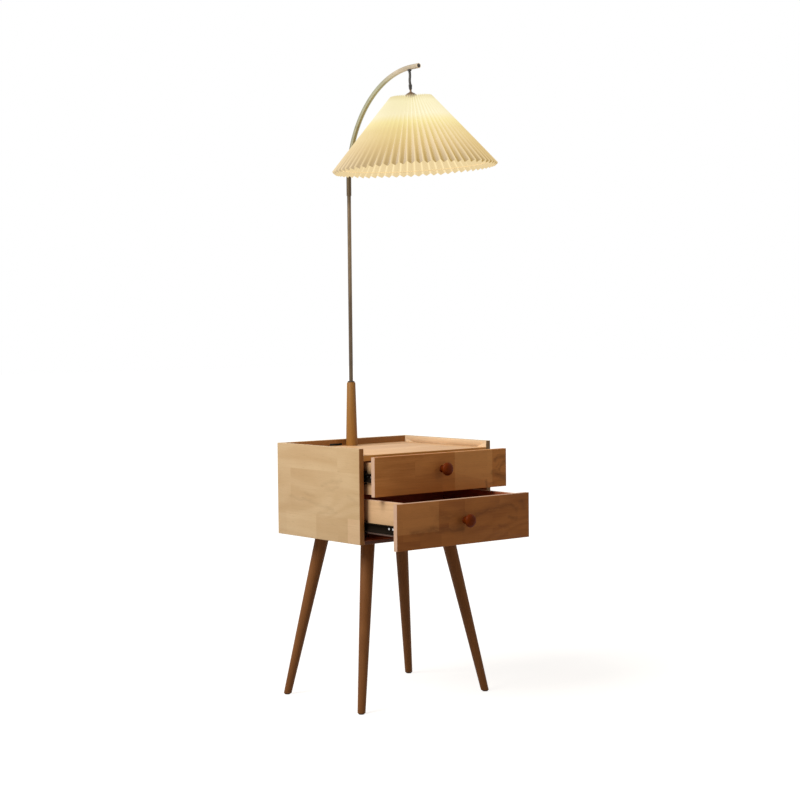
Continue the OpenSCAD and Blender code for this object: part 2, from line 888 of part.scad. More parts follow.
module arm_tube() {
    color(gold)
    difference() {
        arm_path(arm_d / 2, joint_z, arm_tip_y);
        arm_path(arm_bore / 2, joint_z - 1, arm_tip_y - 1);
        translate([0, exit_y, arm_z - arm_d])
            cylinder(r = bush_sleeve_r + fit, h = arm_d);
    }
}

bush_sleeve_r = bush_bore / 2 + 0.9;

module arm_bearing_plug() {
    color(brass)
    on_pole(pole_top_z + fit)
        difference() {
            cylinder(d = arm_bore - 2 * fit, h = plug_len);
            translate([0, 0, -1]) cylinder(r = cable_r + cable_gap, h = plug_len + 2);
        }
}

module arm_end_cap() {
    color(black)
        pin_y(0, arm_tip_y - cap_len, arm_z, arm_bore / 2 - fit, cap_len + end_plug_len);
}

module arm_cord_bush() {
    color(black)
    difference() {
        union() {
            difference() {
                translate(pivot) cylinder(d = bush_d, h = bush_drop - arm_d / 4);
                arm_path(arm_d / 2 + fit, joint_z, arm_tip_y);
            }
            translate(pivot + [0, 0, 1])
                cylinder(r = bush_sleeve_r, h = bush_drop - 1 - arm_bore / 2 + 0.4);
        }
        translate(pivot) sphere(r = socket_r);
        translate(pivot - [0, 0, 1]) cylinder(d = bush_bore, h = bush_drop + 1);
    }
}

// Places on the cable's centre line as [y, z, angle], from the pole up to the bush
cable_rings = concat(
    [[pole_y, pole_top_z + fit, 0]],
    [for (i = [0:20]) let (a = exit_a * i / 20) [bend_end_y + arm_r * cos(a), bend_z + arm_r * sin(a), a]],
    [for (i = [exit_run > 0 ? 0 : 1:8]) let (a = exit_a + (180 - exit_a) * i / 8)
        [exit_turn_y + exit_bend_r * cos(a), exit_turn_z + exit_bend_r * sin(a), a]],
    [[exit_y, pivot[2] + cable_r + cable_gap, 180]]
);

// The cable leaves the arm through the bush and stops just above the cord's round end
module arm_cable() {
    n = 16;
    last = len(cable_rings) - 1;
    points = [for (c = cable_rings, i = [0:n - 1]) let (a = 360 * i / n)
        [cable_r * cos(a), c[0] + cable_r * sin(a) * cos(c[2]), c[1] + cable_r * sin(a) * sin(c[2])]];
    sides = [for (k = [0:last - 1], i = [0:n - 1]) let (j = (i + 1) % n, a = k * n, b = (k + 1) * n)
        each [[a + i, b + j, a + j], [a + i, b + i, b + j]]];
    ends = [[for (i = [0:n - 1]) i], [for (i = [n - 1:-1:0]) last * n + i]];
    color(black) polyhedron(points = points, faces = concat(sides, ends), convexity = 6);
}

// Pendant: t is measured down along the cord from the pivot

module on_pendant(t) {
    translate(pivot)
        rotate([-lean_front, -lean_side, 0])
            translate([0, 0, -t]) children();
}

// A round piece from t0 down to t1, with an optional bore
module turned(t0, t1, d, bore = 0) {
    on_pendant(t1)
        difference() {
            cylinder(d = d, h = t1 - t0);
            if (bore > 0)
                translate([0, 0, -1]) cylinder(d = bore, h = t1 - t0 + 2);
        }
}

module pendant_cord() {
    color(black)
    on_pendant(cord_len) {
        cylinder(r = cable_r, h = cord_len);
        sphere(r = cable_r);
        translate([0, 0, cord_len]) sphere(r = cable_r);
    }
}

module cord_grip() {
    color(black)
    on_pendant(neck_t)
        difference() {
            cylinder(d1 = grip_d - 2, d2 = grip_d, h = grip_len);
            translate([0, 0, grip_len]) sphere(r = socket_r);
        }
}

module lampholder_cap() {
    inner = holder_d / 2 - holder_wall;
    color([0.30, 0.20, 0.12])
    on_pendant(holder_t)
        difference() {
            rotate_extrude()
                polygon(concat(
                    [[0, 0], [holder_d / 2, 0], [holder_d / 2, cap_wall_h]],
                    [for (a = [10:10:70]) [holder_d / 2 * cos(a), cap_wall_h + dome_h * sin(a)]],
                    [[5, cap_wall_h + dome_h], [2.5, cap_wall_h + dome_h + 1]],
                    [[2.5, cap_wall_h + dome_h + neck_len], [0, cap_wall_h + dome_h + neck_len]]
                ));
            translate([0, 0, -1]) cylinder(r = inner, h = cap_wall_h + 1);
        }
}

module lampholder_body() {
    color(black)
    difference() {
        union() {
            turned(holder_t, hub_t, flange_d);
            turned(holder_t, holder_end_t, thread_d);
        }
        turned(bulb_cap_t, holder_end_t + 1, bulb_cap_d + 2 * fit);
    }
}

module shade_ring_nut() {
    color(black)
    turned(ring_nut_t, ring_nut_t + ring_nut_h, ring_nut_d, thread_d + 2 * fit);
}

// Half the spacing of the folds on the cone, at a share u of the way down
function cone_r(u) = shade_top_r + (rim_r - shade_top_r) * u;
function half_pitch(u) = PI * cone_r(u) / pleats;
function pleat_depth(u) = sqrt(pleat_face * pleat_face - pow(half_pitch(u), 2));
function skin_in(u) = skin_t * pleat_face / half_pitch(u);

// Radius of the inner side of the valley folds at a depth t below the pivot
function valley_t(u) = shade_t + shade_h * u + pleat_depth(u) * slope_sin;
function valley_r(u) = cone_r(u) - pleat_depth(u) * slope_cos - skin_in(u);
function share_at(t) = (t - valley_t(0)) / (valley_t(1) - valley_t(0));
function wire_r_at(t, d) = let (u = share_at(t))
    valley_r(0) + (valley_r(1) - valley_r(0)) * u - (d / 2 + seat) / slope_cos;

module wire_ring(t, d) {
    on_pendant(t)
        rotate_extrude() translate([wire_r_at(t, d), 0]) circle(d = d);
}

module shade_spider() {
    ring_r = wire_r_at(hub_mid_t, wire_d);
    color(brass) {
        difference() {
            union() {
                turned(hub_t, hub_t + hub_h, hub_d);
                on_pendant(hub_mid_t)
                    for (i = [0:arms - 1])
                        rotate([0, 0, 90 + 360 * i / arms])
                            translate([hub_d / 2 - wire_d, 0, 0])
                                rotate([0, 90, 0])
                                    cylinder(d = hub_h, h = ring_r - hub_d / 2 + wire_d);
            }
            turned(hub_t - 1, hub_t + hub_h + 1, thread_d + 2 * fit);
        }
        wire_ring(hub_mid_t, wire_d);
    }
}

module shade_rim_wire() {
    color(brass)
    wire_ring(valley_t(0) + (valley_t(1) - valley_t(0)) * rim_ring_u, rim_wire_d);
}

// One fold point of the shade: odd folds lie inwards, and the inner skin is a little smaller
function fold_point(i, u, inner) = let (
    a = 180 * i / pleats,
    depth = i % 2 == 1 ? pleat_depth(u) : 0,
    r = cone_r(u) - depth * slope_cos - (inner ? skin_in(u) : 0),
    t = shade_t + shade_h * u + depth * slope_sin
) [r * cos(a), r * sin(a), -t];

// Rings of fold points go down the outer skin and back up the inner one, and both skins are
// split along the same diagonals, so that they stay a wall apart
module shade() {
    folds = 2 * pleats;
    rings = concat(
        [for (row = [0:shade_rows]) [row / shade_rows, false]],
        [for (row = [shade_rows:-1:0]) [row / shade_rows, true]]
    );
    last = len(rings) - 1;
    points = [for (ring = rings, i = [0:folds - 1]) fold_point(i, ring[0], ring[1])];
    faces = [
        for (k = [0:last], i = [0:folds - 1])
            let (j = (i + 1) % folds, a = k * folds, b = (k == last ? 0 : k + 1) * folds)
                each (i % 2 == 0) == (k <= shade_rows)
                    ? [[a + i, a + j, b + j], [a + i, b + j, b + i]]
                    : [[a + i, a + j, b + i], [a + j, b + j, b + i]]
    ];
    color(cloth)
    on_pendant(0) polyhedron(points = points, faces = faces, convexity = 20);
}

module bulb_screw_cap() {
    color(zinc)
    turned(bulb_cap_t, glass_neck_t, bulb_cap_d);
}

module bulb_shape(d, neck_d) {
    mid_drop = bulb_mid_t - glass_neck_t;
    join = d / 2 * 0.5;
    translate([0, 0, -mid_drop]) sphere(d = d);
    translate([0, 0, join - mid_drop])
        cylinder(d1 = sqrt(d * d - 4 * join * join), d2 = neck_d, h = mid_drop - join);
}

module bulb_glass() {
    color([1, 0.95, 0.85])
    on_pendant(glass_neck_t)
        difference() {
            bulb_shape(bulb_d, glass_neck_d);
            bulb_shape(bulb_d - 2 * glass_t, glass_neck_d - 2 * glass_t);
        }
}

left_side_panel();
right_side_panel();
back_panel();
top_board();
bottom_board();
panel_dowels();
cable_slot_lining();
leg_front_left();
leg_front_right();
leg_rear_left();
leg_rear_right();
leg_inserts();
leg_bolts();
foot_pads();
cabinet_rails();
cabinet_rail_screws();
lamp_post();
post_collar();
post_fasteners();
lamp_pole();
lower_cable();
cord_inlet();
arm_tube();
arm_bearing_plug();
arm_end_cap();
arm_cord_bush();
arm_cable();
pendant_cord();
cord_grip();
lampholder_cap();
lampholder_body();
shade_ring_nut();
shade_spider();
shade();
shade_rim_wire();
bulb_screw_cap();
bulb_glass();
upper_drawer_front();
upper_drawer_left_side();
upper_drawer_right_side();
upper_drawer_back();
upper_drawer_bottom();
upper_knob();
upper_knob_screw();
upper_drawer_rails();
upper_drawer_rail_screws();
upper_ball_cages();
lower_drawer_front();
lower_drawer_left_side();
lower_drawer_right_side();
lower_drawer_back();
lower_drawer_bottom();
lower_knob();
lower_knob_screw();
lower_drawer_rails();
lower_drawer_rail_screws();
lower_ball_cages();
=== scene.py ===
"""Looks of a floor lamp that stands on a two-drawer side table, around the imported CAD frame."""

import json
import math
import random

import bmesh
import bpy
from mathutils import Matrix, Vector

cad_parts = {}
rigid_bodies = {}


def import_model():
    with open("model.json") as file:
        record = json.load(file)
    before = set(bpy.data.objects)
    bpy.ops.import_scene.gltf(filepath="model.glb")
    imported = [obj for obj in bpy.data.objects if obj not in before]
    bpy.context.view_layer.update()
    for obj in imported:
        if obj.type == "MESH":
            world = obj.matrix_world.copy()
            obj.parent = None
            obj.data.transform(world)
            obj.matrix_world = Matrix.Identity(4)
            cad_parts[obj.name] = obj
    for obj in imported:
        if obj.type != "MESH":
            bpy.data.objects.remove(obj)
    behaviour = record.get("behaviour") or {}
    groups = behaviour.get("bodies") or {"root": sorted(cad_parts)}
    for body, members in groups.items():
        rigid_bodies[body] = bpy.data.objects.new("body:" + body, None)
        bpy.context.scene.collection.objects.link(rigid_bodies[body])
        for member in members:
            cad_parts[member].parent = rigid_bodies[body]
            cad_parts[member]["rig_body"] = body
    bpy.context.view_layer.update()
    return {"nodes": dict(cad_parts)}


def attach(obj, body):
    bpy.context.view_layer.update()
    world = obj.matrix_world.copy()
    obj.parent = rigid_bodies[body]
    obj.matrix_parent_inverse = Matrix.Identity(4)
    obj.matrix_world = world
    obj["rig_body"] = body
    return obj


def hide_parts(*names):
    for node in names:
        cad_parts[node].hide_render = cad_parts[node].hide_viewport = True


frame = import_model()
NODES = frame["nodes"]
SCENE = bpy.context.scene

# Sizes that the CAD source sets too, in metres and radians
CABINET_Y = 0.0825
HALF_DEPTH = 0.169
FRONT_Y = CABINET_Y - HALF_DEPTH
POLE_Y = 0.2155
SURFACE_Z = 0.624
POST_H = 0.164
POST_FOOT_R = 0.01525
POST_TOP_R = 0.011
COLLAR_R = 0.009
COLLAR_H = 0.003
POLE_R = 0.005
POLE_WALL = 0.001
POLE_FOOT_Z = 0.597
POLE_TOP_Z = 1.297
ARM_R = 0.00625
ARM_BORE_R = 0.00505
ARM_FOOT_Z = 1.268
BEND_Z = 1.304
BEND_R = 0.262
ARM_Z = BEND_Z + BEND_R
BEND_END_Y = POLE_Y - BEND_R
ARM_STRAIGHT = 0.024
ARM_TIP_Y = BEND_END_Y - ARM_STRAIGHT
CAP_LEN = 0.001
EXIT_FROM_TIP = 0.036
BUSH_DROP = 0.009
PIVOT = Vector((0, ARM_TIP_Y + EXIT_FROM_TIP, ARM_Z - BUSH_DROP))
LEAN_FRONT = math.radians(1.4)
LEAN_SIDE = math.radians(2.5)
CORD_LEN = 0.033
PAD_R = 0.0075
PAD_T = 0.003
FOOT_X = 0.1995
FOOT_Y = 0.1535
FEET = [(sx * FOOT_X, CABINET_Y + sy * FOOT_Y) for sx in (-1, 1) for sy in (-1, 1)]
KNOB_R = 0.016
KNOB_H = 0.028
KNOB_NECK_R = 0.008
FRONT_T = 0.013
UPPER_OPEN = 0.046
LOWER_OPEN = 0.128
UPPER_KNOB_Z = 0.5845
LOWER_KNOB_Z = 0.4655
KNOBS = {
    "upper": (FRONT_Y - UPPER_OPEN - FRONT_T, UPPER_KNOB_Z),
    "lower": (FRONT_Y - LOWER_OPEN - FRONT_T, LOWER_KNOB_Z),
}

# The shade, measured down from the pivot along the cord
SHADE_T = 0.0615
SHADE_H = 0.175
SHADE_TOP_R = 0.052
SHADE_RIM_R = 0.2055
PLEATS = 64
PLEAT_FACE = 0.014
CLOTH_T = 0.0006
SLOPE = math.hypot(SHADE_RIM_R - SHADE_TOP_R, SHADE_H)


# Camera, at the photograph's place

CAMERA_AT = Vector((-2.711, -3.3275, 0.929))
CAMERA_TURN = math.radians(39.04)
CAMERA_DOWN = math.radians(2.42)
CAMERA_ROLL = math.radians(-0.59)
CAMERA_LENS = 77.6


def add_camera():
    camera = bpy.data.objects.new("camera", bpy.data.cameras.new("camera"))
    SCENE.collection.objects.link(camera)
    camera.data.lens = CAMERA_LENS
    camera.data.sensor_width = 36
    camera.data.clip_end = 60
    ahead = Vector((
        math.sin(CAMERA_TURN) * math.cos(CAMERA_DOWN),
        math.cos(CAMERA_TURN) * math.cos(CAMERA_DOWN),
        -math.sin(CAMERA_DOWN),
    ))
    level = Vector((math.cos(CAMERA_TURN), -math.sin(CAMERA_TURN), 0))
    up = level.cross(ahead)
    right = level * math.cos(CAMERA_ROLL) + up * math.sin(CAMERA_ROLL)
    top = up * math.cos(CAMERA_ROLL) - level * math.sin(CAMERA_ROLL)
    turn = Matrix((right, top, -ahead)).transposed().to_4x4()
    camera.matrix_world = Matrix.Translation(CAMERA_AT) @ turn
    SCENE.camera = camera


# Materials


class Paint:
    """A material whose nodes are added by short calls."""

    def __init__(self, name):
        self.material = bpy.data.materials.new(name)
        self.material.use_nodes = True
        self.nodes = self.material.node_tree.nodes
        self.links = self.material.node_tree.links
        self.shader = self.nodes["Principled BSDF"]
        self.output = self.nodes["Material Output"]

    def put(self, value, socket):
        """Links a node's output, or sets a plain value."""
        if isinstance(value, bpy.types.NodeSocket):
            self.links.new(value, socket)
        else:
            socket.default_value = value

    def node(self, kind, inputs=(), **settings):
        made = self.nodes.new("ShaderNode" + kind)
        for key, value in settings.items():
            setattr(made, key, value)
        for key, value in dict(inputs).items():
            self.put(value, made.inputs[key])
        return made

    def math(self, operation, a, b=0.0, c=0.0, clamp=False):
        made = self.node("Math", {0: a, 1: b, 2: c}, operation=operation, use_clamp=clamp)
        return made.outputs[0]

    def noise(self, vector, scale, detail=2.0, distortion=0.0):
        made = self.node("TexNoise", {
            "Vector": vector, "Scale": scale, "Detail": detail, "Distortion": distortion,
        })
        return made.outputs["Fac"]

    def mix(self, factor, a, b, blend="MIX"):
        made = self.nodes.new("ShaderNodeMix")
        made.data_type = "RGBA"
        made.blend_type = blend
        self.put(factor, made.inputs[0])
        self.put(a if isinstance(a, bpy.types.NodeSocket) else (*a, 1), made.inputs[6])
        self.put(b if isinstance(b, bpy.types.NodeSocket) else (*b, 1), made.inputs[7])
        return made.outputs[2]

    def ramp(self, value, low, high):
        """Stretches a value from between low and high to between 0 and 1."""
        made = self.node("MapRange", {"Value": value, "From Min": low, "From Max": high})
        return made.outputs[0]

    def colours(self, value, stops):
        """The colour at a value between 0 and 1, from (position, colour) stops."""
        made = self.node("ValToRGB", {0: value})
        elements = made.color_ramp.elements
        for position, rgb in stops[1:-1]:
            elements.new(position).color = (*rgb, 1)
        for element, (position, rgb) in ((elements[0], stops[0]), (elements[-1], stops[-1])):
            element.position = position
            element.color = (*rgb, 1)
        return made.outputs[0]

    def place(self):
        return self.node("TexCoord").outputs["Object"]

    def axes(self, order):
        """The object's coordinates in another order, such as YZX."""
        split = self.node("SeparateXYZ", {0: self.place()})
        return [split.outputs[axis] for axis in order]

    def vector(self, x, y, z=0.0):
        return self.node("CombineXYZ", {0: x, 1: y, 2: z}).outputs[0]

    def vectors(self, operation, a, b, output="Vector"):
        return self.node("VectorMath", {0: a, 1: b}, operation=operation).outputs[output]

    def scaled(self, vector, scale):
        return self.vectors("MULTIPLY", vector, scale)

    def bump(self, height, strength, distance):
        made = self.node("Bump", {"Height": height, "Strength": strength, "Distance": distance})
        self.links.new(made.outputs[0], self.shader.inputs["Normal"])

    def normal(self, axis):
        return self.node("SeparateXYZ", {0: self.node("TexCoord").outputs["Normal"]}).outputs[axis]

    def facing(self, axis, sign):
        """1 on the faces that look along an axis, to the side given by sign, or both ways for 0."""
        if sign == 0:
            return self.math("GREATER_THAN", self.math("ABSOLUTE", self.normal(axis)), 0.5)
        return self.math("GREATER_THAN", self.math("MULTIPLY", self.normal(axis), sign), 0.5)

    def inside_shade_mask(self, kind):
        """Where the painted shade goes: 1 on the faces that look into the cabinet or into a drawer,
        and 0 on the others.
        """
        place = self.node("SeparateXYZ", {0: self.place()}).outputs
        below = WALL_SHADE_BELOW
        if kind == "sides":
            outwards = self.math("MULTIPLY", self.math("SIGN", place[0]), self.normal(0))
            turned_in = self.math("LESS_THAN", outwards, -0.5)
        elif kind == "back":
            turned_in = self.facing(1, -1)
        else:
            turned_in = self.facing(2, 1)
            below = FLOOR_SHADE_BELOW
        return self.math("MULTIPLY", turned_in, self.math("LESS_THAN", place[2], below))

    def marks(self, along, across, strokes):
        """The strongest of some short soft marks, each from a place to a place on the board."""
        here = self.vector(along, across)
        warp = self.node("TexNoise", {"Vector": here, "Scale": 38.0, "Detail": 2.0})
        warp = self.vectors("SUBTRACT", warp.outputs["Color"], (0.5, 0.5, 0.5))
        here = self.vectors("ADD", self.scaled(warp, (0.014, 0.014, 0.0)), here)
        broken = self.ramp(self.noise(self.scaled(here, (60, 170, 1)), 1.0, 2.0), 0.28, 0.56)
        most = 0.0
        for a0, b0, a1, b1, width, share in strokes:
            step = Vector((a1 - a0, b1 - b0, 0))
            rel = self.vectors("SUBTRACT", here, (a0, b0, 0))
            part = self.vectors("DOT_PRODUCT", rel, step / step.length_squared, "Value")
            part = self.math("ADD", part, 0.0, clamp=True)
            near = self.node("VectorMath", {0: step, "Scale": part}, operation="SCALE").outputs[0]
            away = self.vectors("SUBTRACT", rel, near)
            away = self.node("VectorMath", {0: away}, operation="LENGTH").outputs["Value"]
            line = self.math("MULTIPLY", self.ramp(away, width * 1.2, 0.0), share)
            most = self.math("MAXIMUM", most, line)
        return self.math("MULTIPLY", most, self.math("MULTIPLY_ADD", broken, 0.65, 0.35))

    def set(self, **values):
        """Sets the shader's own sockets; an underscore in a name stands for a space."""
        for key, value in values.items():
            socket = self.shader.inputs[key.replace("_", " ")]
            if isinstance(value, tuple) and len(value) == 3:
                value = (*value, 1)
            self.put(value, socket)


def toned(share, colour):
    return tuple(min(1.0, share * c) for c in colour)


def wood(name, pale, dark, order, stave, tint=0.1, gloss=0.5, patches=(), strokes=(), inside=None,
         faces=(), figure=0.3, bands=(3.0, 34, 34), fibre=0.35, arches=0.0, specular=0.3):
    """Wood with grain along the first axis of order, in staves of (length, width).

    patches are single staves that differ, and a strip of painted shadow: (along from, to, across
    from, to, share). The share is of the dark colour, or of a paler one where it is negative, or of
    the colour that follows it.
    strokes are single dark marks: (along, across, along, across, width, share), broken up by noise.
    inside names the faces that lie in the dark of the cabinet, which get painted shade.
    faces are (axis, sign, colour) for faces of another tone: painted shade on faces that look to
    the front, painted light on some lit faces; sign 0 means both sides.
    figure, fibre and arches are the strengths of the bands, the fibres and the rings' arches.
    """
    paint = Paint(name)
    along, across, depth = paint.axes(order)
    board = paint.node("TexBrick", {
        "Vector": paint.vector(along, across), "Color1": (0, 0, 0, 1), "Color2": (1, 1, 1, 1),
        "Mortar": (0.5, 0.5, 0.5, 1), "Scale": 1.0, "Mortar Size": 0.0,
        "Brick Width": stave[0], "Row Height": stave[1],
    }, offset=0.37, squash=0.8, squash_frequency=3)
    # The stave's own grey as a number, which moves the grain from stave to stave
    pick = paint.math("MULTIPLY", board.outputs["Color"], 1.0)
    moved = paint.vector(
        paint.math("MULTIPLY_ADD", pick, 3.1, along),
        paint.math("MULTIPLY_ADD", pick, 0.9, across),
        paint.math("MULTIPLY_ADD", pick, 1.7, depth),
    )
    band = paint.noise(paint.scaled(moved, bands), 1.0, 4.0, 0.9)
    fibres = paint.noise(paint.scaled(moved, (9, 420, 420)), 1.0, 2.0)
    pores = paint.ramp(paint.noise(paint.scaled(moved, (55, 1500, 1500)), 1.0, 1.0), 0.62, 0.72)
    cloud = paint.noise(paint.scaled(moved, (5, 9, 9)), 1.0, 2.0)
    light = paint.math("MULTIPLY", fibres, fibre)
    light = paint.math("MULTIPLY_ADD", paint.ramp(band, 0.3, 0.7), figure, light)
    light = paint.math("ADD", light, paint.math("MULTIPLY", cloud, 0.5))
    if arches:
        field = paint.noise(paint.scaled(moved, (1.8, 7, 7)), 1.0, 1.0, 0.4)
        lines = paint.ramp(paint.math("SINE", paint.math("MULTIPLY", field, 60.0)), -0.5, 1.0)
        light = paint.math("SUBTRACT", light, paint.math("MULTIPLY", lines, arches))
    light = paint.ramp(light, 0.15, 0.5 + fibre + figure * 0.5)
    colour = paint.mix(light, dark, pale)
    colour = paint.mix(paint.math("MULTIPLY", pick, tint), colour, dark)
    for start, end, low, high, share, *own in patches:
        there = 1.0
        sides = ((along, start, 1), (along, end, -1), (across, low, 1), (across, high, -1))
        for value, edge, sign in sides:
            past = paint.math("MULTIPLY", paint.math("SUBTRACT", value, edge), sign * PATCH_BLUR)
            there = paint.math("MULTIPLY", there, paint.math("ADD", past, 0.5, clamp=True))
        target = own[0] if own else dark if share > 0 else toned(1.18, pale)
        colour = paint.mix(paint.math("MULTIPLY", there, abs(share)), colour, target)
    if strokes:
        colour = paint.mix(paint.marks(along, across, strokes), colour, toned(0.55, dark))
    colour = paint.mix(paint.math("MULTIPLY", pores, 0.3), colour, toned(0.6, dark))
    # Faces of another tone: painted shade on front-facing edges, painted light on faces where the
    # light falls
    for axis, sign, edge_colour in faces:
        edge = paint.mix(light, toned(0.8, edge_colour), edge_colour)
        colour = paint.mix(paint.facing(axis, sign), colour, edge)
    # Painted shade on the faces inside the cabinet and the drawers
    if inside:
        colour = paint.mix(paint.inside_shade_mask(inside), colour, INSIDE_SHADE)
    height = paint.math("SUBTRACT", paint.math("MULTIPLY", fibres, 0.6), pores)
    paint.bump(height, 0.2, 0.0003)
    rough = paint.math("MULTIPLY_ADD", fibres, 0.25, gloss - 0.1)
    paint.set(Base_Color=colour, Roughness=rough, Specular_IOR_Level=specular)
    return paint.material


def metal(name, colour, roughness, metallic=1.0, streak=(1, 1, 1), heights=(), specular=0.5):
    """Metal; heights are (height, colour) pairs for painted light and shade that change along a
    pole.
    """
    paint = Paint(name)
    place = paint.place()
    fine = paint.noise(paint.scaled(place, tuple(900 * s for s in streak)), 1.0, 2.0)
    broad = paint.noise(place, 35.0, 3.0)
    tone = paint.math("MULTIPLY_ADD", fine, 0.5, paint.math("MULTIPLY", broad, 0.5))
    shown = paint.mix(paint.ramp(tone, 0.35, 0.65), toned(0.72, colour), colour)
    if heights:
        low, high = heights[0][0], heights[-1][0]
        up = paint.ramp(paint.node("SeparateXYZ", {0: place}).outputs[2], low, high)
        stops = [((height - low) / (high - low), rgb) for height, rgb in heights]
        shown = paint.mix(1.0, paint.colours(up, stops), shown, "MULTIPLY")
    paint.set(
        Base_Color=shown,
        Roughness=paint.math("MULTIPLY_ADD", tone, 0.22, roughness - 0.08),
        Metallic=metallic, Specular_IOR_Level=specular,
    )
    paint.bump(fine, 0.08, 0.0002)
    return paint.material


def plastic(name, colour, roughness, glow=None):
    paint = Paint(name)
    place = paint.place()
    fine = paint.noise(place, 1400.0, 2.0)
    broad = paint.noise(place, 60.0, 2.0)
    paint.set(
        Base_Color=paint.mix(paint.ramp(broad, 0.3, 0.7), toned(0.65, colour), colour),
        Roughness=paint.math("MULTIPLY_ADD", fine, 0.2, roughness - 0.1),
    )
    # glow paints light onto the part
    if glow:
        paint.set(Emission_Color=glow, Emission_Strength=1.0)
    paint.bump(fine, 0.15, 0.0002)
    return paint.material


def glowing_cloth(name):
    """Pleated cloth round a lit bulb, whose light through the cloth is painted as emission. UV: x
    runs from fold to fold, y from the top to the rim.
    """
    paint = Paint(name)
    uv = paint.node("UVMap", uv_map="cloth").outputs[0]
    split = paint.node("SeparateXYZ", {0: uv})
    fold, down = split.outputs[0], split.outputs[1]
    weft = paint.math("SINE", paint.math("MULTIPLY", fold, THREADS))
    warp = paint.math("SINE", paint.math("MULTIPLY", down, THREADS))
    weave = paint.math("MULTIPLY", weft, warp)
    slub = paint.noise(paint.scaled(uv, (60, 900, 1)), 1.0, 2.0)
    cloud = paint.noise(paint.place(), 14.0, 2.0)
    tone = paint.math("MULTIPLY_ADD", slub, 0.5, paint.math("MULTIPLY", cloud, 0.5))
    share = paint.math("DIVIDE", down, GLOW_RUN, clamp=True)
    colour = paint.mix(paint.ramp(tone, 0.3, 0.7), CLOTH_DULL, CLOTH)
    # The cloth's colour is darker near the top, where the painted glow takes over from the lamps'
    # light
    colour = paint.mix(paint.ramp(share, 0.6, 0.2), colour, CLOTH_ABOVE)
    # The painted glow: brighter on the ridges than in the valleys, and its own colour on the inner
    # wall
    peak = paint.node("Attribute", attribute_name="peak").outputs["Fac"]
    ridge = paint.ramp(peak, 0.62, 0.9)
    glow = paint.mix(ridge, paint.colours(share, VALLEY_GLOW), paint.colours(share, RIDGE_GLOW))
    within = paint.mix(ridge, INNER_GLOW_RIDGE, INNER_GLOW)
    inner = paint.node("Attribute", attribute_name="inner").outputs["Fac"]
    shown = paint.mix(inner, glow, within)
    shown = paint.mix(paint.math("MULTIPLY", slub, 0.08), shown, (0.2, 0.13, 0.05))
    # The glow is raised by what the mix with the translucent shader takes from it
    paint.set(
        Base_Color=colour, Roughness=0.9, Sheen_Weight=0.05, Sheen_Roughness=0.5,
        Specular_IOR_Level=0.1, Emission_Color=shown, Emission_Strength=1.25,
    )
    paint.bump(weave, 0.1, 0.0002)
    through = paint.node("BsdfTranslucent", {"Color": colour})
    mixed = paint.node("MixShader", {0: 0.2, 1: paint.shader.outputs[0], 2: through.outputs[0]})
    paint.links.new(mixed.outputs[0], paint.output.inputs[0])
    return paint.material


def lit_glass(name):
    paint = Paint(name)
    speck = paint.noise(paint.place(), 500.0, 2.0)
    paint.set(
        Base_Color=paint.mix(speck, (0.92, 0.88, 0.78), (0.98, 0.95, 0.88)),
        Roughness=paint.math("MULTIPLY_ADD", speck, 0.2, 0.3),
        Emission_Color=(1.0, 0.78, 0.46), Emission_Strength=2.2,
    )
    paint.bump(speck, 0.05, 0.0002)
    return paint.material


WALL_SHADE_BELOW = 0.612  # upright faces that look inwards get painted shade under this height
FLOOR_SHADE_BELOW = 0.6  # and faces that look up, under this one
PATCH_BLUR = 400.0  # a stave's edge fades over 1 / this
THREADS = 5200.0  # the weave's waves, in radians for each metre
GLOW_RUN = 0.233  # the way from the shade's top to its rim, over which the glow changes

# Colours, in linear RGB
PALE = (0.69, 0.53, 0.325)
PALE_DARK = (0.50, 0.33, 0.168)
TOP = (0.90, 0.61, 0.36)
TOP_DARK = (0.59, 0.335, 0.15)
BOX = (0.75, 0.515, 0.305)
BOX_DARK = (0.52, 0.32, 0.16)
# Painted light on the drawer sides' top edges, where light falls on them
BOX_TOP_LIT = (0.80, 0.56, 0.40)
# Painted shade on faces that look to the front, which the light misses: board edges and the back
# panel's front face
FRONT_EDGE_SHADE = (0.42, 0.19, 0.055)
RIGHT_EDGE_SHADE = (0.30, 0.19, 0.09)
TOP_EDGE_SHADE = (0.74, 0.38, 0.11)
LIP_FACE_SHADE = (0.34, 0.15, 0.04)
# Painted light on the right panel's faces that look left, towards the light
LIP_SIDE_LIT = (0.88, 0.68, 0.46)
# Painted shade on the bottom board's front edge
FLOOR_EDGE_SHADE = (0.135, 0.058, 0.040)
SHADED_STRIP = (0.30, 0.21, 0.20)
FRONT = (0.81, 0.38, 0.125)
FRONT_DARK = (0.40, 0.145, 0.032)
LOWER = (0.56, 0.23, 0.064)
LOWER_DARK = (0.28, 0.095, 0.022)
FRONT_SIDE = (0.69, 0.46, 0.33)
LEG = (0.25, 0.104, 0.032)
LEG_DARK = (0.13, 0.045, 0.011)
POST = (0.375, 0.186, 0.042)
POST_DARK = (0.235, 0.102, 0.018)
KNOB = (0.19, 0.031, 0.001)
KNOB_DARK = (0.085, 0.012, 0.0005)
# Painted shade, deep red-brown, for the faces inside the cabinet and the drawers
INSIDE_SHADE = (0.40, 0.115, 0.052)
# The shade cloth's colours are bluish, a painted tint of the cool light on its lit side
CLOTH = (0.225, 0.24, 0.285)
CLOTH_DULL = (0.18, 0.195, 0.23)
CLOTH_ABOVE = (0.13, 0.145, 0.18)

# The painted glow's colour, the bulb's light through the cloth, at shares of the way from the
# shade's top to its rim
UPPER_GLOW = [
    (0.0, (0.74, 0.63, 0.32)), (0.08, (0.865, 0.775, 0.455)), (0.28, (0.875, 0.775, 0.475)),
    (0.38, (0.83, 0.69, 0.285)), (0.5, (0.725, 0.55, 0.205)),
]
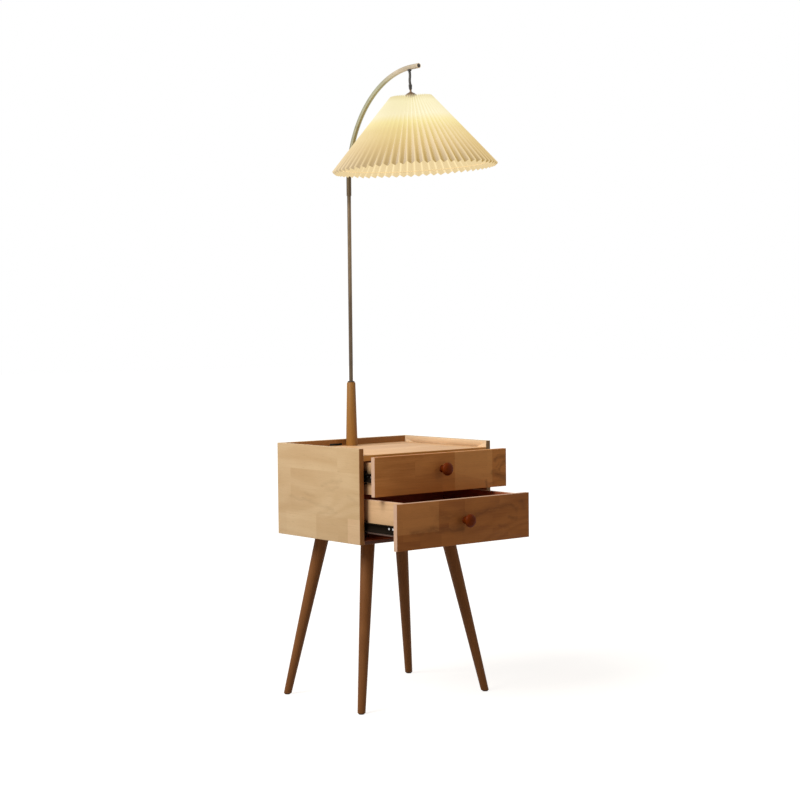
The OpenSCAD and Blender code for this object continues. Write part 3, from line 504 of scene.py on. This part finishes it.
# Painted fold shading: towards the rim the glow is darker in the valleys than on the ridges
RIDGE_GLOW = UPPER_GLOW + [(0.75, (0.645, 0.45, 0.15)), (1.0, (0.645, 0.455, 0.17))]
VALLEY_GLOW = UPPER_GLOW + [(0.75, (0.57, 0.385, 0.12)), (1.0, (0.355, 0.215, 0.03))]
# Painted glow on the inner wall, as the bulb lights it
INNER_GLOW = (0.905, 0.725, 0.40)
INNER_GLOW_RIDGE = (0.745, 0.57, 0.29)

# Painted light and shade on the pole and arm at heights above the floor: darker low down, a painted
# shadow of the shade near 1.275 m, and brighter up the arm to a painted highlight at its tip
POLE_LIGHT_AND_SHADE = [
    (0.60, (0.19, 0.165, 0.15)), (0.95, (0.21, 0.18, 0.165)), (1.10, (0.33, 0.285, 0.245)),
    (1.24, (0.31, 0.27, 0.24)), (1.275, (0.16, 0.14, 0.12)), (1.33, (0.25, 0.22, 0.17)),
    (1.40, (0.62, 0.70, 0.64)), (1.535, (0.78, 0.92, 0.88)), (1.56, (1.0, 1.0, 1.0)),
]

# Single grain marks, as (along, height, along, height, width, share of dark)
SIDE_MARKS = [
    (0.065, 0.543, 0.035, 0.554, 0.006, 0.2), (0.035, 0.554, -0.013, 0.560, 0.006, 0.2),
    (0.048, 0.535, 0.022, 0.536, 0.005, 0.16), (0.022, 0.536, -0.004, 0.547, 0.005, 0.16),
    (0.195, 0.508, 0.126, 0.504, 0.006, 0.2), (0.126, 0.504, 0.074, 0.495, 0.006, 0.2),
    (0.074, 0.495, 0.018, 0.488, 0.006, 0.2), (0.135, 0.522, 0.096, 0.515, 0.005, 0.15),
    (0.083, 0.476, 0.005, 0.482, 0.004, 0.15), (-0.039, 0.524, -0.074, 0.514, 0.006, 0.15),
]
UPPER_MARKS = [
    (0.172, 0.597, 0.183, 0.602, 0.007, 0.7), (0.183, 0.602, 0.210, 0.602, 0.007, 0.7),
    (0.186, 0.570, 0.194, 0.582, 0.006, 0.7), (0.194, 0.582, 0.204, 0.589, 0.007, 0.7),
    (0.175, 0.576, 0.186, 0.587, 0.004, 0.4), (0.170, 0.564, 0.184, 0.557, 0.010, 0.85),
    (0.184, 0.557, 0.210, 0.547, 0.010, 0.85), (0.152, 0.538, 0.175, 0.542, 0.004, 0.3),
    (0.175, 0.542, 0.200, 0.542, 0.004, 0.3), (0.141, 0.546, 0.147, 0.529, 0.005, 0.65),
]
LOWER_MARKS = [
    # The first, wide mark, left of the knob, is partly grain and partly the knob's painted shadow
    (-0.083, 0.478, -0.003, 0.474, 0.013, 0.4), (0.035, 0.476, 0.057, 0.480, 0.007, 0.6),
    (0.057, 0.480, 0.086, 0.486, 0.007, 0.6), (0.086, 0.486, 0.121, 0.490, 0.007, 0.6),
    (0.121, 0.490, 0.153, 0.491, 0.007, 0.6), (0.153, 0.491, 0.169, 0.479, 0.007, 0.5),
    (0.143, 0.463, 0.165, 0.459, 0.006, 0.5), (0.185, 0.495, 0.191, 0.485, 0.011, 0.6),
    (-0.165, 0.447, -0.105, 0.449, 0.008, 0.5), (-0.105, 0.451, -0.010, 0.445, 0.009, 0.65),
    (0.111, 0.443, 0.140, 0.439, 0.006, 0.4),
]

MATERIALS = {
    "side_board": wood(
        "side_board", PALE, PALE_DARK, "YZX", (0.31, 0.116), 0.08, inside="sides",
        faces=[(1, -1, FRONT_EDGE_SHADE)], figure=0.22, bands=(2.2, 16, 16), fibre=0.2, arches=0.12,
        patches=[(-0.039, 0.089, 0.40, 0.4705, 0.34), (0.089, 0.215, 0.40, 0.4705, -0.12),
                 (-0.10, -0.039, 0.40, 0.4705, 0.35, (0.76, 0.53, 0.34))],
        strokes=SIDE_MARKS,
    ),
    "right_board": wood(
        "right_board", PALE, PALE_DARK, "YZX", (0.31, 0.116), 0.08, inside="sides",
        faces=[(0, -1, LIP_SIDE_LIT), (1, -1, RIGHT_EDGE_SHADE)],
        figure=0.22, bands=(2.2, 16, 16), fibre=0.2, arches=0.12,
    ),
    "top_boards": wood(
        "top_boards", TOP, TOP_DARK, "XYZ", (0.30, 0.055), 0.15, inside="floor",
        faces=[(1, -1, TOP_EDGE_SHADE)],
    ),
    "floor_board": wood(
        "floor_board", TOP, TOP_DARK, "XYZ", (0.30, 0.055), 0.15, inside="floor",
        faces=[(1, -1, FLOOR_EDGE_SHADE)], specular=0.15,
    ),
    "back_board": wood(
        "back_board", PALE, PALE_DARK, "XZY", (0.30, 0.057), inside="back",
        faces=[(1, -1, LIP_FACE_SHADE)],
    ),
    "drawer_side_board": wood(
        "drawer_side_board", BOX, BOX_DARK, "YZX", (0.5, 0.2), 0.05, inside="sides",
        faces=[(2, 1, BOX_TOP_LIT)], patches=[(-0.3, 0.3, 0.42, 0.4425, 0.85, SHADED_STRIP)],
    ),
    "drawer_floor_board": wood(
        "drawer_floor_board", BOX, BOX_DARK, "YXZ", (0.6, 0.3), 0.05, inside="floor",
    ),
    "upper_front_board": wood(
        "upper_front_board", FRONT, FRONT_DARK, "XZY", (0.29, 0.094), 0.2,
        faces=[(0, 0, FRONT_SIDE)], arches=0.08, strokes=UPPER_MARKS, specular=0.15,
        patches=[(0.04, 0.163, 0.52, 0.63, 0.4, (0.84, 0.46, 0.18)),
                 (-0.02, 0.03, 0.56, 0.60, 0.1), (0.163, 0.22, 0.52, 0.63, 0.15)],
    ),
    "lower_front_board": wood(
        "lower_front_board", LOWER, LOWER_DARK, "XZY", (0.14, 0.0535), 0.15, figure=0.25,
        faces=[(0, 0, FRONT_SIDE), (2, 1, FRONT_SIDE)], arches=0.16, strokes=LOWER_MARKS,
        specular=0.15,
        patches=[(-0.21, -0.082, 0.445, 0.52, 0.45, (0.66, 0.31, 0.11)),
                 (-0.21, -0.075, 0.40, 0.445, 0.35), (-0.009, 0.12, 0.40, 0.447, 0.1),
                 (0.146, 0.21, 0.40, 0.434, 0.15)],
    ),
    "leg_wood": wood("leg_wood", LEG, LEG_DARK, "ZXY", (2.0, 1.0), 0.0, specular=0.15),
    "post_wood": wood("post_wood", POST, POST_DARK, "ZXY", (2.0, 1.0), 0.0, 0.4, specular=0.25),
    "knob_wood": wood("knob_wood", KNOB, KNOB_DARK, "XZY", (2.0, 1.0), 0.0, 0.42, specular=0.07),
    "gold_metal": metal(
        "gold_metal", (0.60, 0.50, 0.36), 0.38, streak=(1, 1, 0.05), heights=POLE_LIGHT_AND_SHADE),
    "black_steel": metal("black_steel", (0.012, 0.008, 0.005), 0.8, metallic=0.0, specular=0.05),
    "dark_bronze": metal("dark_bronze", (0.06, 0.04, 0.03), 0.5, metallic=0.0, specular=0.3),
    "zinc_steel": metal("zinc_steel", (0.62, 0.62, 0.62), 0.32),
    "brass": metal("brass", (0.60, 0.44, 0.19), 0.35),
    "black_plastic": plastic("black_plastic", (0.035, 0.033, 0.03), 0.5),
    "brown_plastic": plastic("brown_plastic", (0.17, 0.10, 0.045), 0.42),
    "cable_sheath": plastic("cable_sheath", (0.05, 0.048, 0.042), 0.55),
    "pad_rubber": plastic("pad_rubber", (0.03, 0.028, 0.026), 0.8),
    # The rim wire gets a painted glow, as the bulb lights it through the cloth
    "pale_wire": plastic("pale_wire", (0.78, 0.66, 0.44), 0.5, glow=(0.50, 0.38, 0.21)),
    "shade_cloth": glowing_cloth("shade_cloth"),
    "bulb_metal": metal("bulb_metal", (0.62, 0.62, 0.63), 0.3),
    "bulb_glass": lit_glass("bulb_glass"),
}


# Meshes


def finish_piece(obj, body, material, nodes, sharp=35):
    """Gives a new mesh its material, smooth shading and body, and hides the nodes it stands for."""
    obj.data.materials.clear()
    obj.data.materials.append(MATERIALS[material])
    for face in obj.data.polygons:
        face.use_smooth = True
    obj.data.set_sharp_from_angle(angle=math.radians(sharp))
    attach(obj, body)
    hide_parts(*nodes)


def link_mesh(name, bm):
    """A new object of the mesh that was built in bm."""
    mesh = bpy.data.meshes.new(name)
    bmesh.ops.recalc_face_normals(bm, faces=bm.faces)
    bm.to_mesh(mesh)
    bm.free()
    obj = bpy.data.objects.new(name, mesh)
    SCENE.collection.objects.link(obj)
    return obj


def softened(node, width, material, shortest=0.02, sharp=35):
    """A copy of a CAD node's mesh with rounded edges, which stands for the node."""
    bm = bmesh.new()
    bm.from_mesh(NODES[node].data)
    bmesh.ops.remove_doubles(bm, verts=bm.verts, dist=1e-5)
    bmesh.ops.dissolve_limit(bm, angle_limit=math.radians(1), verts=bm.verts, edges=bm.edges)
    corners = [
        e for e in bm.edges
        if len(e.link_faces) == 2 and e.calc_length() > shortest
        and e.calc_face_angle() > math.radians(50)
    ]
    bmesh.ops.bevel(
        bm, geom=corners, offset=width, segments=3, profile=0.5, affect="EDGES",
        clamp_overlap=True,
    )
    piece = link_mesh(node + "_piece", bm)
    finish_piece(piece, NODES[node]["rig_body"], material, [node], sharp)


def turned(bm, outline, matrix, segments):
    """Adds a turned form; outline is (radius, height) pairs from end to end, or round a bore."""
    turns = [2 * math.pi * i / segments for i in range(segments)]
    rings = []
    for radius, height in outline:
        if radius < 1e-6:
            rings.append([bm.verts.new(matrix @ Vector((0, 0, height)))])
            continue
        rings.append([
            bm.verts.new(matrix @ Vector((radius * math.cos(a), radius * math.sin(a), height)))
            for a in turns
        ])
    for low, high in zip(rings, rings[1:]):
        join_rings(bm, low, high)


def join_rings(bm, low, high):
    """Adds the faces between two rings, either of which may be a single point."""
    count = max(len(low), len(high))
    for i in range(count):
        j = (i + 1) % count
        if len(low) == 1:
            bm.faces.new((low[0], high[j], high[i]))
        elif len(high) == 1:
            bm.faces.new((low[i], low[j], high[0]))
        else:
            bm.faces.new((low[i], low[j], high[j], high[i]))


def arc(centre_x, centre_y, radius, start, end, steps):
    """Points of an arc for an outline, with angles in degrees."""
    points = []
    for i in range(steps + 1):
        angle = math.radians(start + (end - start) * i / steps)
        points.append((centre_x + radius * math.cos(angle), centre_y + radius * math.sin(angle)))
    return points


def loop_outline(outline):
    """Closes an outline that goes round a bore."""
    return outline + outline[:1]


def swept_rings(bm, path, radius, segments):
    """Adds rings of vertices round a path, and returns them."""
    rings = []
    side = Vector((1, 0, 0))
    for i, point in enumerate(path):
        ahead = (path[min(i + 1, len(path) - 1)] - path[max(i - 1, 0)]).normalized()
        side = (side - ahead * side.dot(ahead)).normalized()
        other = ahead.cross(side)
        rings.append([
            bm.verts.new(
                point + side * radius * math.cos(2 * math.pi * k / segments)
                + other * radius * math.sin(2 * math.pi * k / segments)
            ) for k in range(segments)
        ])
    return rings


def rod(bm, path, radius):
    """Adds a solid round bar along a path."""
    rings = swept_rings(bm, path, radius, 28)
    for low, high in zip(rings, rings[1:]):
        join_rings(bm, low, high)
    bm.faces.new(list(reversed(rings[0])))
    bm.faces.new(rings[-1])


def pipe(bm, path, radius, bore):
    """Adds a hollow tube along a path."""
    outer = swept_rings(bm, path, radius, 40)
    inner = swept_rings(bm, path, bore, 40)
    for low, high in zip(outer, outer[1:]):
        join_rings(bm, low, high)
    for low, high in zip(inner, inner[1:]):
        join_rings(bm, high, low)
    join_rings(bm, inner[0], outer[0])
    join_rings(bm, outer[-1], inner[-1])


# Cabinet and drawers

# The rounding of each board's edges, and its material
PANEL_ROUND = 0.0013
BOARD_ROUND = 0.0008
SIDE_ROUND = 0.0009
THIN_ROUND = 0.0004
LEG_ROUND = 0.0006
BOARDS = [
    ("left_side_panel", PANEL_ROUND, "side_board"),
    ("right_side_panel", PANEL_ROUND, "right_board"),
    ("back_panel", PANEL_ROUND, "back_board"), ("top_board", BOARD_ROUND, "top_boards"),
    ("bottom_board", BOARD_ROUND, "floor_board"),
]


def add_cabinet():
    for node, width, material in BOARDS:
        softened(node, width, material)
    for side in ("front_left", "front_right", "rear_left", "rear_right"):
        softened("leg_" + side, LEG_ROUND, "leg_wood", shortest=0.0, sharp=40)
    pad = [(0, 0), (PAD_R - 0.001, 0), (PAD_R, 0.0008), (PAD_R, PAD_T - 0.0004),
           (PAD_R - 0.0004, PAD_T), (0, PAD_T)]
    bm = bmesh.new()
    for x, y in FEET:
        turned(bm, pad, Matrix.Translation((x, y, 0)), 32)
    pads = link_mesh("foot_pads_turned", bm)
    finish_piece(pads, "base", "pad_rubber", ["foot_pads"])


def knob_outline():
    """From the drawer front outwards."""
    edge = KNOB_H * 0.2
    under = KNOB_H * 0.5
    dome = KNOB_R * 2.2
    throat = 0.003
    points = [(0, 0), (KNOB_NECK_R + 0.001, 0), (KNOB_NECK_R + 0.001, 0.0008),
              (KNOB_NECK_R + 0.0004, 0.0016), (KNOB_NECK_R, 0.0026), (KNOB_NECK_R, under - throat)]
    points += arc(KNOB_NECK_R + throat, under - throat, throat, 180, 90, 6)
    points += arc(KNOB_R - edge, under + edge, edge, -90, 44, 12)
    for i in range(9, -1, -1):
        x = (KNOB_R - edge) * 0.98 * i / 9
        points.append((x, KNOB_H - dome + math.sqrt(dome * dome - x * x)))
    return points


def add_drawers():
    for level in ("upper", "lower"):
        softened(level + "_drawer_front", BOARD_ROUND, level + "_front_board")
        for part, width, material in (
            ("left_side", SIDE_ROUND, "drawer_side_board"),
            ("right_side", SIDE_ROUND, "drawer_side_board"),
            ("back", SIDE_ROUND, "back_board"), ("bottom", THIN_ROUND, "drawer_floor_board"),
        ):
            softened(f"{level}_drawer_{part}", width, material)
        y, z = KNOBS[level]
        at = Matrix.Translation((0, y, z)) @ Matrix.Rotation(math.radians(90), 4, "X")
        bm = bmesh.new()
        turned(bm, knob_outline(), at, 72)
        knob = link_mesh(level + "_knob_turned", bm)
        finish_piece(knob, level + "_drawer", "knob_wood", [level + "_knob"])


# Post, pole and arm


def add_pole():
    bm = bmesh.new()
    at = Matrix.Translation((0, POLE_Y, SURFACE_Z))
    seat = 0.001
    turned(bm, loop_outline([
        (POLE_R, -seat), (POST_FOOT_R - 0.0006, -seat), (POST_FOOT_R - 0.0001, 0.0),
        (POST_FOOT_R - 0.0001, 0.001), (POST_TOP_R + 0.0001, POST_H - 0.002),
        (POST_TOP_R - 0.0006, POST_H - 0.0006), (POST_TOP_R - 0.002, POST_H), (POLE_R, POST_H),
    ]), at, 64)
    finish_piece(link_mesh("lamp_post_turned", bm), "base", "post_wood", ["lamp_post"])
    bm = bmesh.new()
    at = Matrix.Translation((0, POLE_Y, SURFACE_Z + POST_H))
    turned(bm, loop_outline([
        (POLE_R, 0), (COLLAR_R - 0.0003, 0), (COLLAR_R, 0.0004), (COLLAR_R, COLLAR_H - 0.001),
        (COLLAR_R - 0.0004, COLLAR_H - 0.0002), (COLLAR_R - 0.001, COLLAR_H), (POLE_R, COLLAR_H),
    ]), at, 48)
    collar = link_mesh("post_collar_turned", bm)
    finish_piece(collar, "base", "dark_bronze", ["post_collar"])
    bm = bmesh.new()
    line = [Vector((0, POLE_Y, z)) for z in (POLE_FOOT_Z, 1.0, POLE_TOP_Z)]
    pipe(bm, line, POLE_R, POLE_R - POLE_WALL)
    finish_piece(link_mesh("lamp_pole_tube", bm), "base", "gold_metal", ["lamp_pole"])


def arm_line():
    points = [Vector((0, POLE_Y, ARM_FOOT_Z)), Vector((0, POLE_Y, BEND_Z - 0.004))]
    points += [Vector((0, y, z)) for y, z in arc(BEND_END_Y, BEND_Z, BEND_R, 0, 90, 60)]
    points.append(Vector((0, ARM_TIP_Y, ARM_Z)))
    return points


def add_arm():
    bm = bmesh.new()
    pipe(bm, arm_line(), ARM_R, ARM_BORE_R)
    finish_piece(link_mesh("arm_tube_bent", bm), "arm", "gold_metal", ["arm_tube"])
    bm = bmesh.new()
    at = Matrix.Translation((0, ARM_TIP_Y, ARM_Z)) @ Matrix.Rotation(math.radians(90), 4, "X")
    plug_r = ARM_BORE_R - 0.00005
    turned(bm, [
        (0, -0.010), (ARM_BORE_R - 0.0005, -0.010), (plug_r, -0.0095), (plug_r, 0.0002),
        (ARM_BORE_R - 0.0007, 0.0007), (ARM_BORE_R * 0.5, CAP_LEN * 0.95), (0, CAP_LEN),
    ], at, 40)
    cap = link_mesh("arm_end_cap_turned", bm)
    finish_piece(cap, "arm", "black_plastic", ["arm_end_cap"])


# Pendant

PENDANT = (
    Matrix.Translation(PIVOT)
    @ Matrix.Rotation(-LEAN_SIDE, 4, "Y")
    @ Matrix.Rotation(-LEAN_FRONT, 4, "X")
)


def hung(t):
    """The frame at a distance t down the pendant, with +Z up along it."""
    return PENDANT @ Matrix.Translation((0, 0, -t))


def add_cord():
    """The short cord, with a slight wave, and 0.1 mm more on its radius than in CAD."""
    radius = 0.0031
    bend = 0.0007
    path = []
    for i in range(25):
        t = CORD_LEN * i / 24
        swing = bend * math.sin(2 * math.pi * i / 24)
        path.append(PENDANT @ Vector((swing, -0.4 * swing, -t)))
    bm = bmesh.new()
    rod(bm, path, radius)
    cord = link_mesh("pendant_cord_line", bm)
    finish_piece(cord, "cord", "cable_sheath", ["pendant_cord"])


def add_holder():
    grip_len = 0.012
    outline = [(0, 0), (0.0034, 0), (0.0037, 0.0004)]
    for i in range(4):
        foot = 0.001 + i * 0.0024
        outline += [(0.0036 + 0.00015 * i, foot), (0.0040 + 0.00015 * i, foot + 0.0004),
                    (0.0040 + 0.00015 * i, foot + 0.0014), (0.0036 + 0.00015 * i, foot + 0.0018)]
    # The rim, and the socket that leaves the cord's end room to swing
    outline += [(0.0044, grip_len - 0.0008), (0.0041, grip_len), (0.00365, grip_len)]
    outline += [(0.0036, grip_len - 0.0014), (0.0027, grip_len - 0.0029), (0, grip_len - 0.0038)]
    bm = bmesh.new()
    turned(bm, outline, hung(CORD_LEN + grip_len), 40)
    grip = link_mesh("cord_grip_turned", bm)
    finish_piece(grip, "pendant", "black_plastic", ["cord_grip"])

    holder_t, wall, dome, radius, neck = 0.074, 0.008, 0.014, 0.0165, 0.007
    outline = [(0, wall - 0.0008), (radius - 0.002, wall - 0.0008), (radius - 0.002, 0),
               (radius - 0.0003, 0), (radius, 0.0004), (radius, 0.0034), (radius - 0.0005, 0.0038),
               (radius - 0.0005, 0.0046), (radius, 0.0050), (radius, wall)]
    for degrees in range(6, 73, 6):
        a = math.radians(degrees)
        outline.append((radius * math.cos(a), wall + dome * math.sin(a)))
    crown = wall + dome
    outline += [(0.0052, crown), (0.0036, crown + 0.0004), (0.0027, crown + 0.0014),
                (0.0025, crown + 0.003), (0.0025, crown + neck - 0.0006),
                (0.0021, crown + neck), (0, crown + neck)]
    bm = bmesh.new()
    turned(bm, outline, hung(holder_t), 64)
    cap = link_mesh("lampholder_cap_turned", bm)
    finish_piece(cap, "pendant", "brown_plastic", ["lampholder_cap"])


def pleat_depth(u):
    """How far a fold goes in, at a share u of the way down."""
    half = math.pi * (SHADE_TOP_R + (SHADE_RIM_R - SHADE_TOP_R) * u) / PLEATS
    return math.sqrt(PLEAT_FACE ** 2 - half ** 2)


def add_shade():
    """Pleats as in the CAD shade, with rounded folds and the small unevenness of folded cloth."""
    draw = random.Random(7)
    slope_cos = SHADE_H / SLOPE
    slope_sin = (SHADE_RIM_R - SHADE_TOP_R) / SLOPE
    per_pleat = 12
    around = PLEATS * per_pleat
    rows = 22
    fold_straight, fold_round = 0.72, 0.28
    inset, rim_inset = 0.0004, 0.0006
    swerve, shallow, uneven_rim = 0.05, 0.035, 0.0007
    uneven = [[draw.uniform(-1, 1) for _ in range(3)] for _ in range(PLEATS)]
    bm = bmesh.new()
    peak_layer = bm.verts.layers.float.new("peak")
    rings = []
    for row in range(rows + 1):
        u = row / rows
        full = pleat_depth(u)
        ring = []
        for k in range(around):
            pleat, step = divmod(k, per_pleat)
            w = step / per_pleat
            straight = 1 - abs(2 * w - 1)
            rounded = 0.5 - 0.5 * math.cos(2 * math.pi * w)
            inward = fold_straight * straight + fold_round * rounded
            here, after = uneven[pleat], uneven[(pleat + 1) % PLEATS]
            jitter = [a + (b - a) * w for a, b in zip(here, after)]
            grow = u * (1 - u) * 4
            angle = 2 * math.pi * (k / per_pleat + swerve * jitter[0] * u) / PLEATS
            depth = full * inward * (1 - shallow * (1 + jitter[1]))
            radius = SHADE_TOP_R + (SHADE_RIM_R - SHADE_TOP_R) * u - depth * slope_cos
            radius -= inset + rim_inset * (1 + jitter[2]) * u - rim_inset * grow
            t = SHADE_T + SHADE_H * u + depth * slope_sin + uneven_rim * jitter[2] * u
            place = Vector((radius * math.cos(angle), radius * math.sin(angle), -t))
            vert = bm.verts.new(PENDANT @ place)
            vert[peak_layer] = 1 - inward
            ring.append(vert)
        rings.append(ring)
    uv_layer = bm.loops.layers.uv.new("cloth")
    face_step = 2 * PLEAT_FACE / per_pleat
    for row, (top, low) in enumerate(zip(rings, rings[1:])):
        for i in range(around):
            j = (i + 1) % around
            face = bm.faces.new((top[i], low[i], low[j], top[j]))
            places = ((i, row), (i, row + 1), (i + 1, row + 1), (i + 1, row))
            for loop, (column, line) in zip(face.loops, places):
                loop[uv_layer].uv = (column * face_step, line * SLOPE / rows)
    obj = link_mesh("shade_pleated", bm)
    thick = obj.modifiers.new("thickness", "SOLIDIFY")
    thick.thickness = CLOTH_T
    thick.offset = -1
    bpy.context.view_layer.update()
    made = bpy.data.meshes.new_from_object(obj.evaluated_get(bpy.context.evaluated_depsgraph_get()))
    obj.modifiers.clear()
    skin = len(obj.data.vertices)
    obj.data = made
    # The modifier adds the second skin's vertices after the first's, in the same order
    upright = PENDANT.inverted()
    radii = [(upright @ vertex.co).xy.length for vertex in made.vertices]
    paired = radii[skin:] + radii[:skin]
    inner = made.attributes.new("inner", "FLOAT", "POINT")
    inner.data.foreach_set("value", [float(here < other) for here, other in zip(radii, paired)])
    finish_piece(obj, "pendant", "shade_cloth", ["shade"], sharp=75)


def add_bulb():
    cap_t, cap_h, cap_r = 0.081, 0.024, 0.013
    outline = [(0, 0), (cap_r - 0.002, 0)]
    turns = 6
    for i in range(turns * 4 + 1):
        z = 0.003 + (cap_h - 0.008) * i / (turns * 4)
        outline.append((cap_r - 0.0006 + 0.0005 * math.cos(2 * math.pi * i / 4), z))
    outline += [(cap_r - 0.002, cap_h - 0.003), (0.005, cap_h - 0.001), (0.004, cap_h), (0, cap_h)]
    bm = bmesh.new()
    turned(bm, outline, hung(cap_t + cap_h), 40)
    cap = link_mesh("bulb_screw_cap_turned", bm)
    finish_piece(cap, "pendant", "bulb_metal", ["bulb_screw_cap"])
    radius, neck_r, drop = 0.030, 0.0138, 0.0468
    neck_end, neck_len = -0.004, 0.0255
    outline = [(0, 0), (neck_r, 0), (neck_r + 0.0002, neck_end)]
    for s in range(1, 8):
        flare = (radius * 0.9 - neck_r) * (1 - math.cos(math.pi * s / 8)) / 2
        outline.append((neck_r + flare, neck_end - neck_len * s / 8))
    outline += [(max(r, 0.0), z) for r, z in arc(0, -drop, radius, 24, -90, 19)]
    bm = bmesh.new()
    turned(bm, outline, hung(cap_t + cap_h), 56)
    glass = link_mesh("bulb_glass_blown", bm)
    finish_piece(glass, "pendant", "bulb_glass", ["bulb_glass"])


# Finishes of the CAD nodes that stay as they are

KEPT = {
    "panel_dowels": "side_board", "cable_slot_lining": "black_plastic", "leg_inserts": "brass",
    "leg_bolts": "zinc_steel", "cabinet_rails": "black_steel", "cabinet_rail_screws": "zinc_steel",
    "post_fasteners": "zinc_steel", "lower_cable": "cable_sheath", "cord_inlet": "black_plastic",
    "arm_bearing_plug": "brass", "arm_cord_bush": "black_plastic", "arm_cable": "cable_sheath",
    "lampholder_body": "black_plastic", "shade_ring_nut": "black_plastic", "shade_spider": "brass",
    "shade_rim_wire": "pale_wire",
    "upper_knob_screw": "zinc_steel", "lower_knob_screw": "zinc_steel",
    "upper_drawer_rails": "black_steel", "lower_drawer_rails": "black_steel",
    "upper_drawer_rail_screws": "zinc_steel", "lower_drawer_rail_screws": "zinc_steel",
    "upper_ball_cages": "zinc_steel", "lower_ball_cages": "zinc_steel",
}


def paint_kept_nodes():
    for node, material in KEPT.items():
        mesh = NODES[node].data
        if not mesh.materials:
            mesh.materials.append(None)
        for i in range(len(mesh.materials)):
            mesh.materials[i] = MATERIALS[material]


# Stage and light


def seen_itself(tree):
    """1 on the rays that show a background as it is: straight, in a reflection or through glass."""
    path = tree.nodes.new("ShaderNodeLightPath").outputs
    seen = path["Is Camera Ray"]
    for kind in ("Is Glossy Ray", "Is Transmission Ray"):
        most = tree.nodes.new("ShaderNodeMath")
        most.operation = "MAXIMUM"
        tree.links.new(seen, most.inputs[0])
        tree.links.new(path[kind], most.inputs[1])
        seen = most.outputs[0]
    return seen


def add_floor():
    mesh = bpy.data.meshes.new("floor")
    half = 30
    corners = [(-half, -half, 0), (half, -half, 0), (half, half, 0), (-half, half, 0)]
    mesh.from_pydata(corners, [], [(0, 1, 2, 3)])
    floor = bpy.data.objects.new("floor", mesh)
    SCENE.collection.objects.link(floor)
    paint = Paint("floor")
    seen = seen_itself(paint.material.node_tree)
    grain = paint.noise(paint.place(), 3.0, 2.0)
    away = paint.node("VectorMath", {0: paint.place()}, operation="LENGTH").outputs["Value"]
    white = paint.math("MULTIPLY_ADD", paint.ramp(away, 0.5, 2.2), 0.16, 0.84)
    paint.set(Base_Color=paint.mix(grain, (0.38, 0.37, 0.36), (0.42, 0.41, 0.40)), Roughness=0.9,
              Specular_IOR_Level=0.0, Emission_Color=(1, 1, 1),
              Emission_Strength=paint.math("MULTIPLY", seen, white))
    mesh.materials.append(paint.material)


def add_world():
    """A warm weak fill for the object, behind which the background is seen white."""
    world = bpy.data.worlds.new("world")
    world.use_nodes = True
    SCENE.world = world
    tree = world.node_tree
    fill = tree.nodes["Background"]
    fill.inputs[0].default_value = (1.0, 0.83, 0.64, 1)
    fill.inputs[1].default_value = 0.26
    white = tree.nodes.new("ShaderNodeBackground")
    white.inputs[0].default_value = (1, 1, 1, 1)
    white.inputs[1].default_value = 1.0
    mixed = tree.nodes.new("ShaderNodeMixShader")
    for i, source in enumerate((seen_itself(tree), fill.outputs[0], white.outputs[0])):
        tree.links.new(source, mixed.inputs[i])
    tree.links.new(mixed.outputs[0], tree.nodes["World Output"].inputs[0])


LAMP_SIZE = 2.4


def add_lamp(name, at, target, power, colour):
    """A large soft lamp that looks at a target."""
    lamp = bpy.data.objects.new(name, bpy.data.lights.new(name, "AREA"))
    lamp.data.shape = "DISK"
    lamp.data.size = LAMP_SIZE
    lamp.data.energy = power
    lamp.data.color = colour
    lamp.location = at
    lamp.rotation_euler = (Vector(target) - Vector(at)).to_track_quat("-Z", "Y").to_euler()
    SCENE.collection.objects.link(lamp)


def add_lights():
    add_lamp("key", (-2.9, 0.15, 3.2), (0, 0.1, 0.75), 150, (1.0, 0.96, 0.91))
    add_lamp("front_fill", (2.4, -3.6, 2.4), (0, 0, 0.6), 15.5, (1.0, 0.80, 0.58))
    bulb_t = 0.150
    bulb = bpy.data.objects.new("bulb_light", bpy.data.lights.new("bulb_light", "POINT"))
    bulb.data.energy = 1.6
    bulb.data.color = (1.0, 0.74, 0.42)
    bulb.data.shadow_soft_size = 0.03
    bulb.location = hung(bulb_t).translation
    SCENE.collection.objects.link(bulb)
    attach(bulb, "pendant")


add_camera()
add_cabinet()
add_drawers()
add_pole()
add_arm()
add_cord()
add_holder()
add_shade()
add_bulb()
paint_kept_nodes()
add_floor()
add_world()
add_lights()
SCENE.view_settings.view_transform = "Standard"
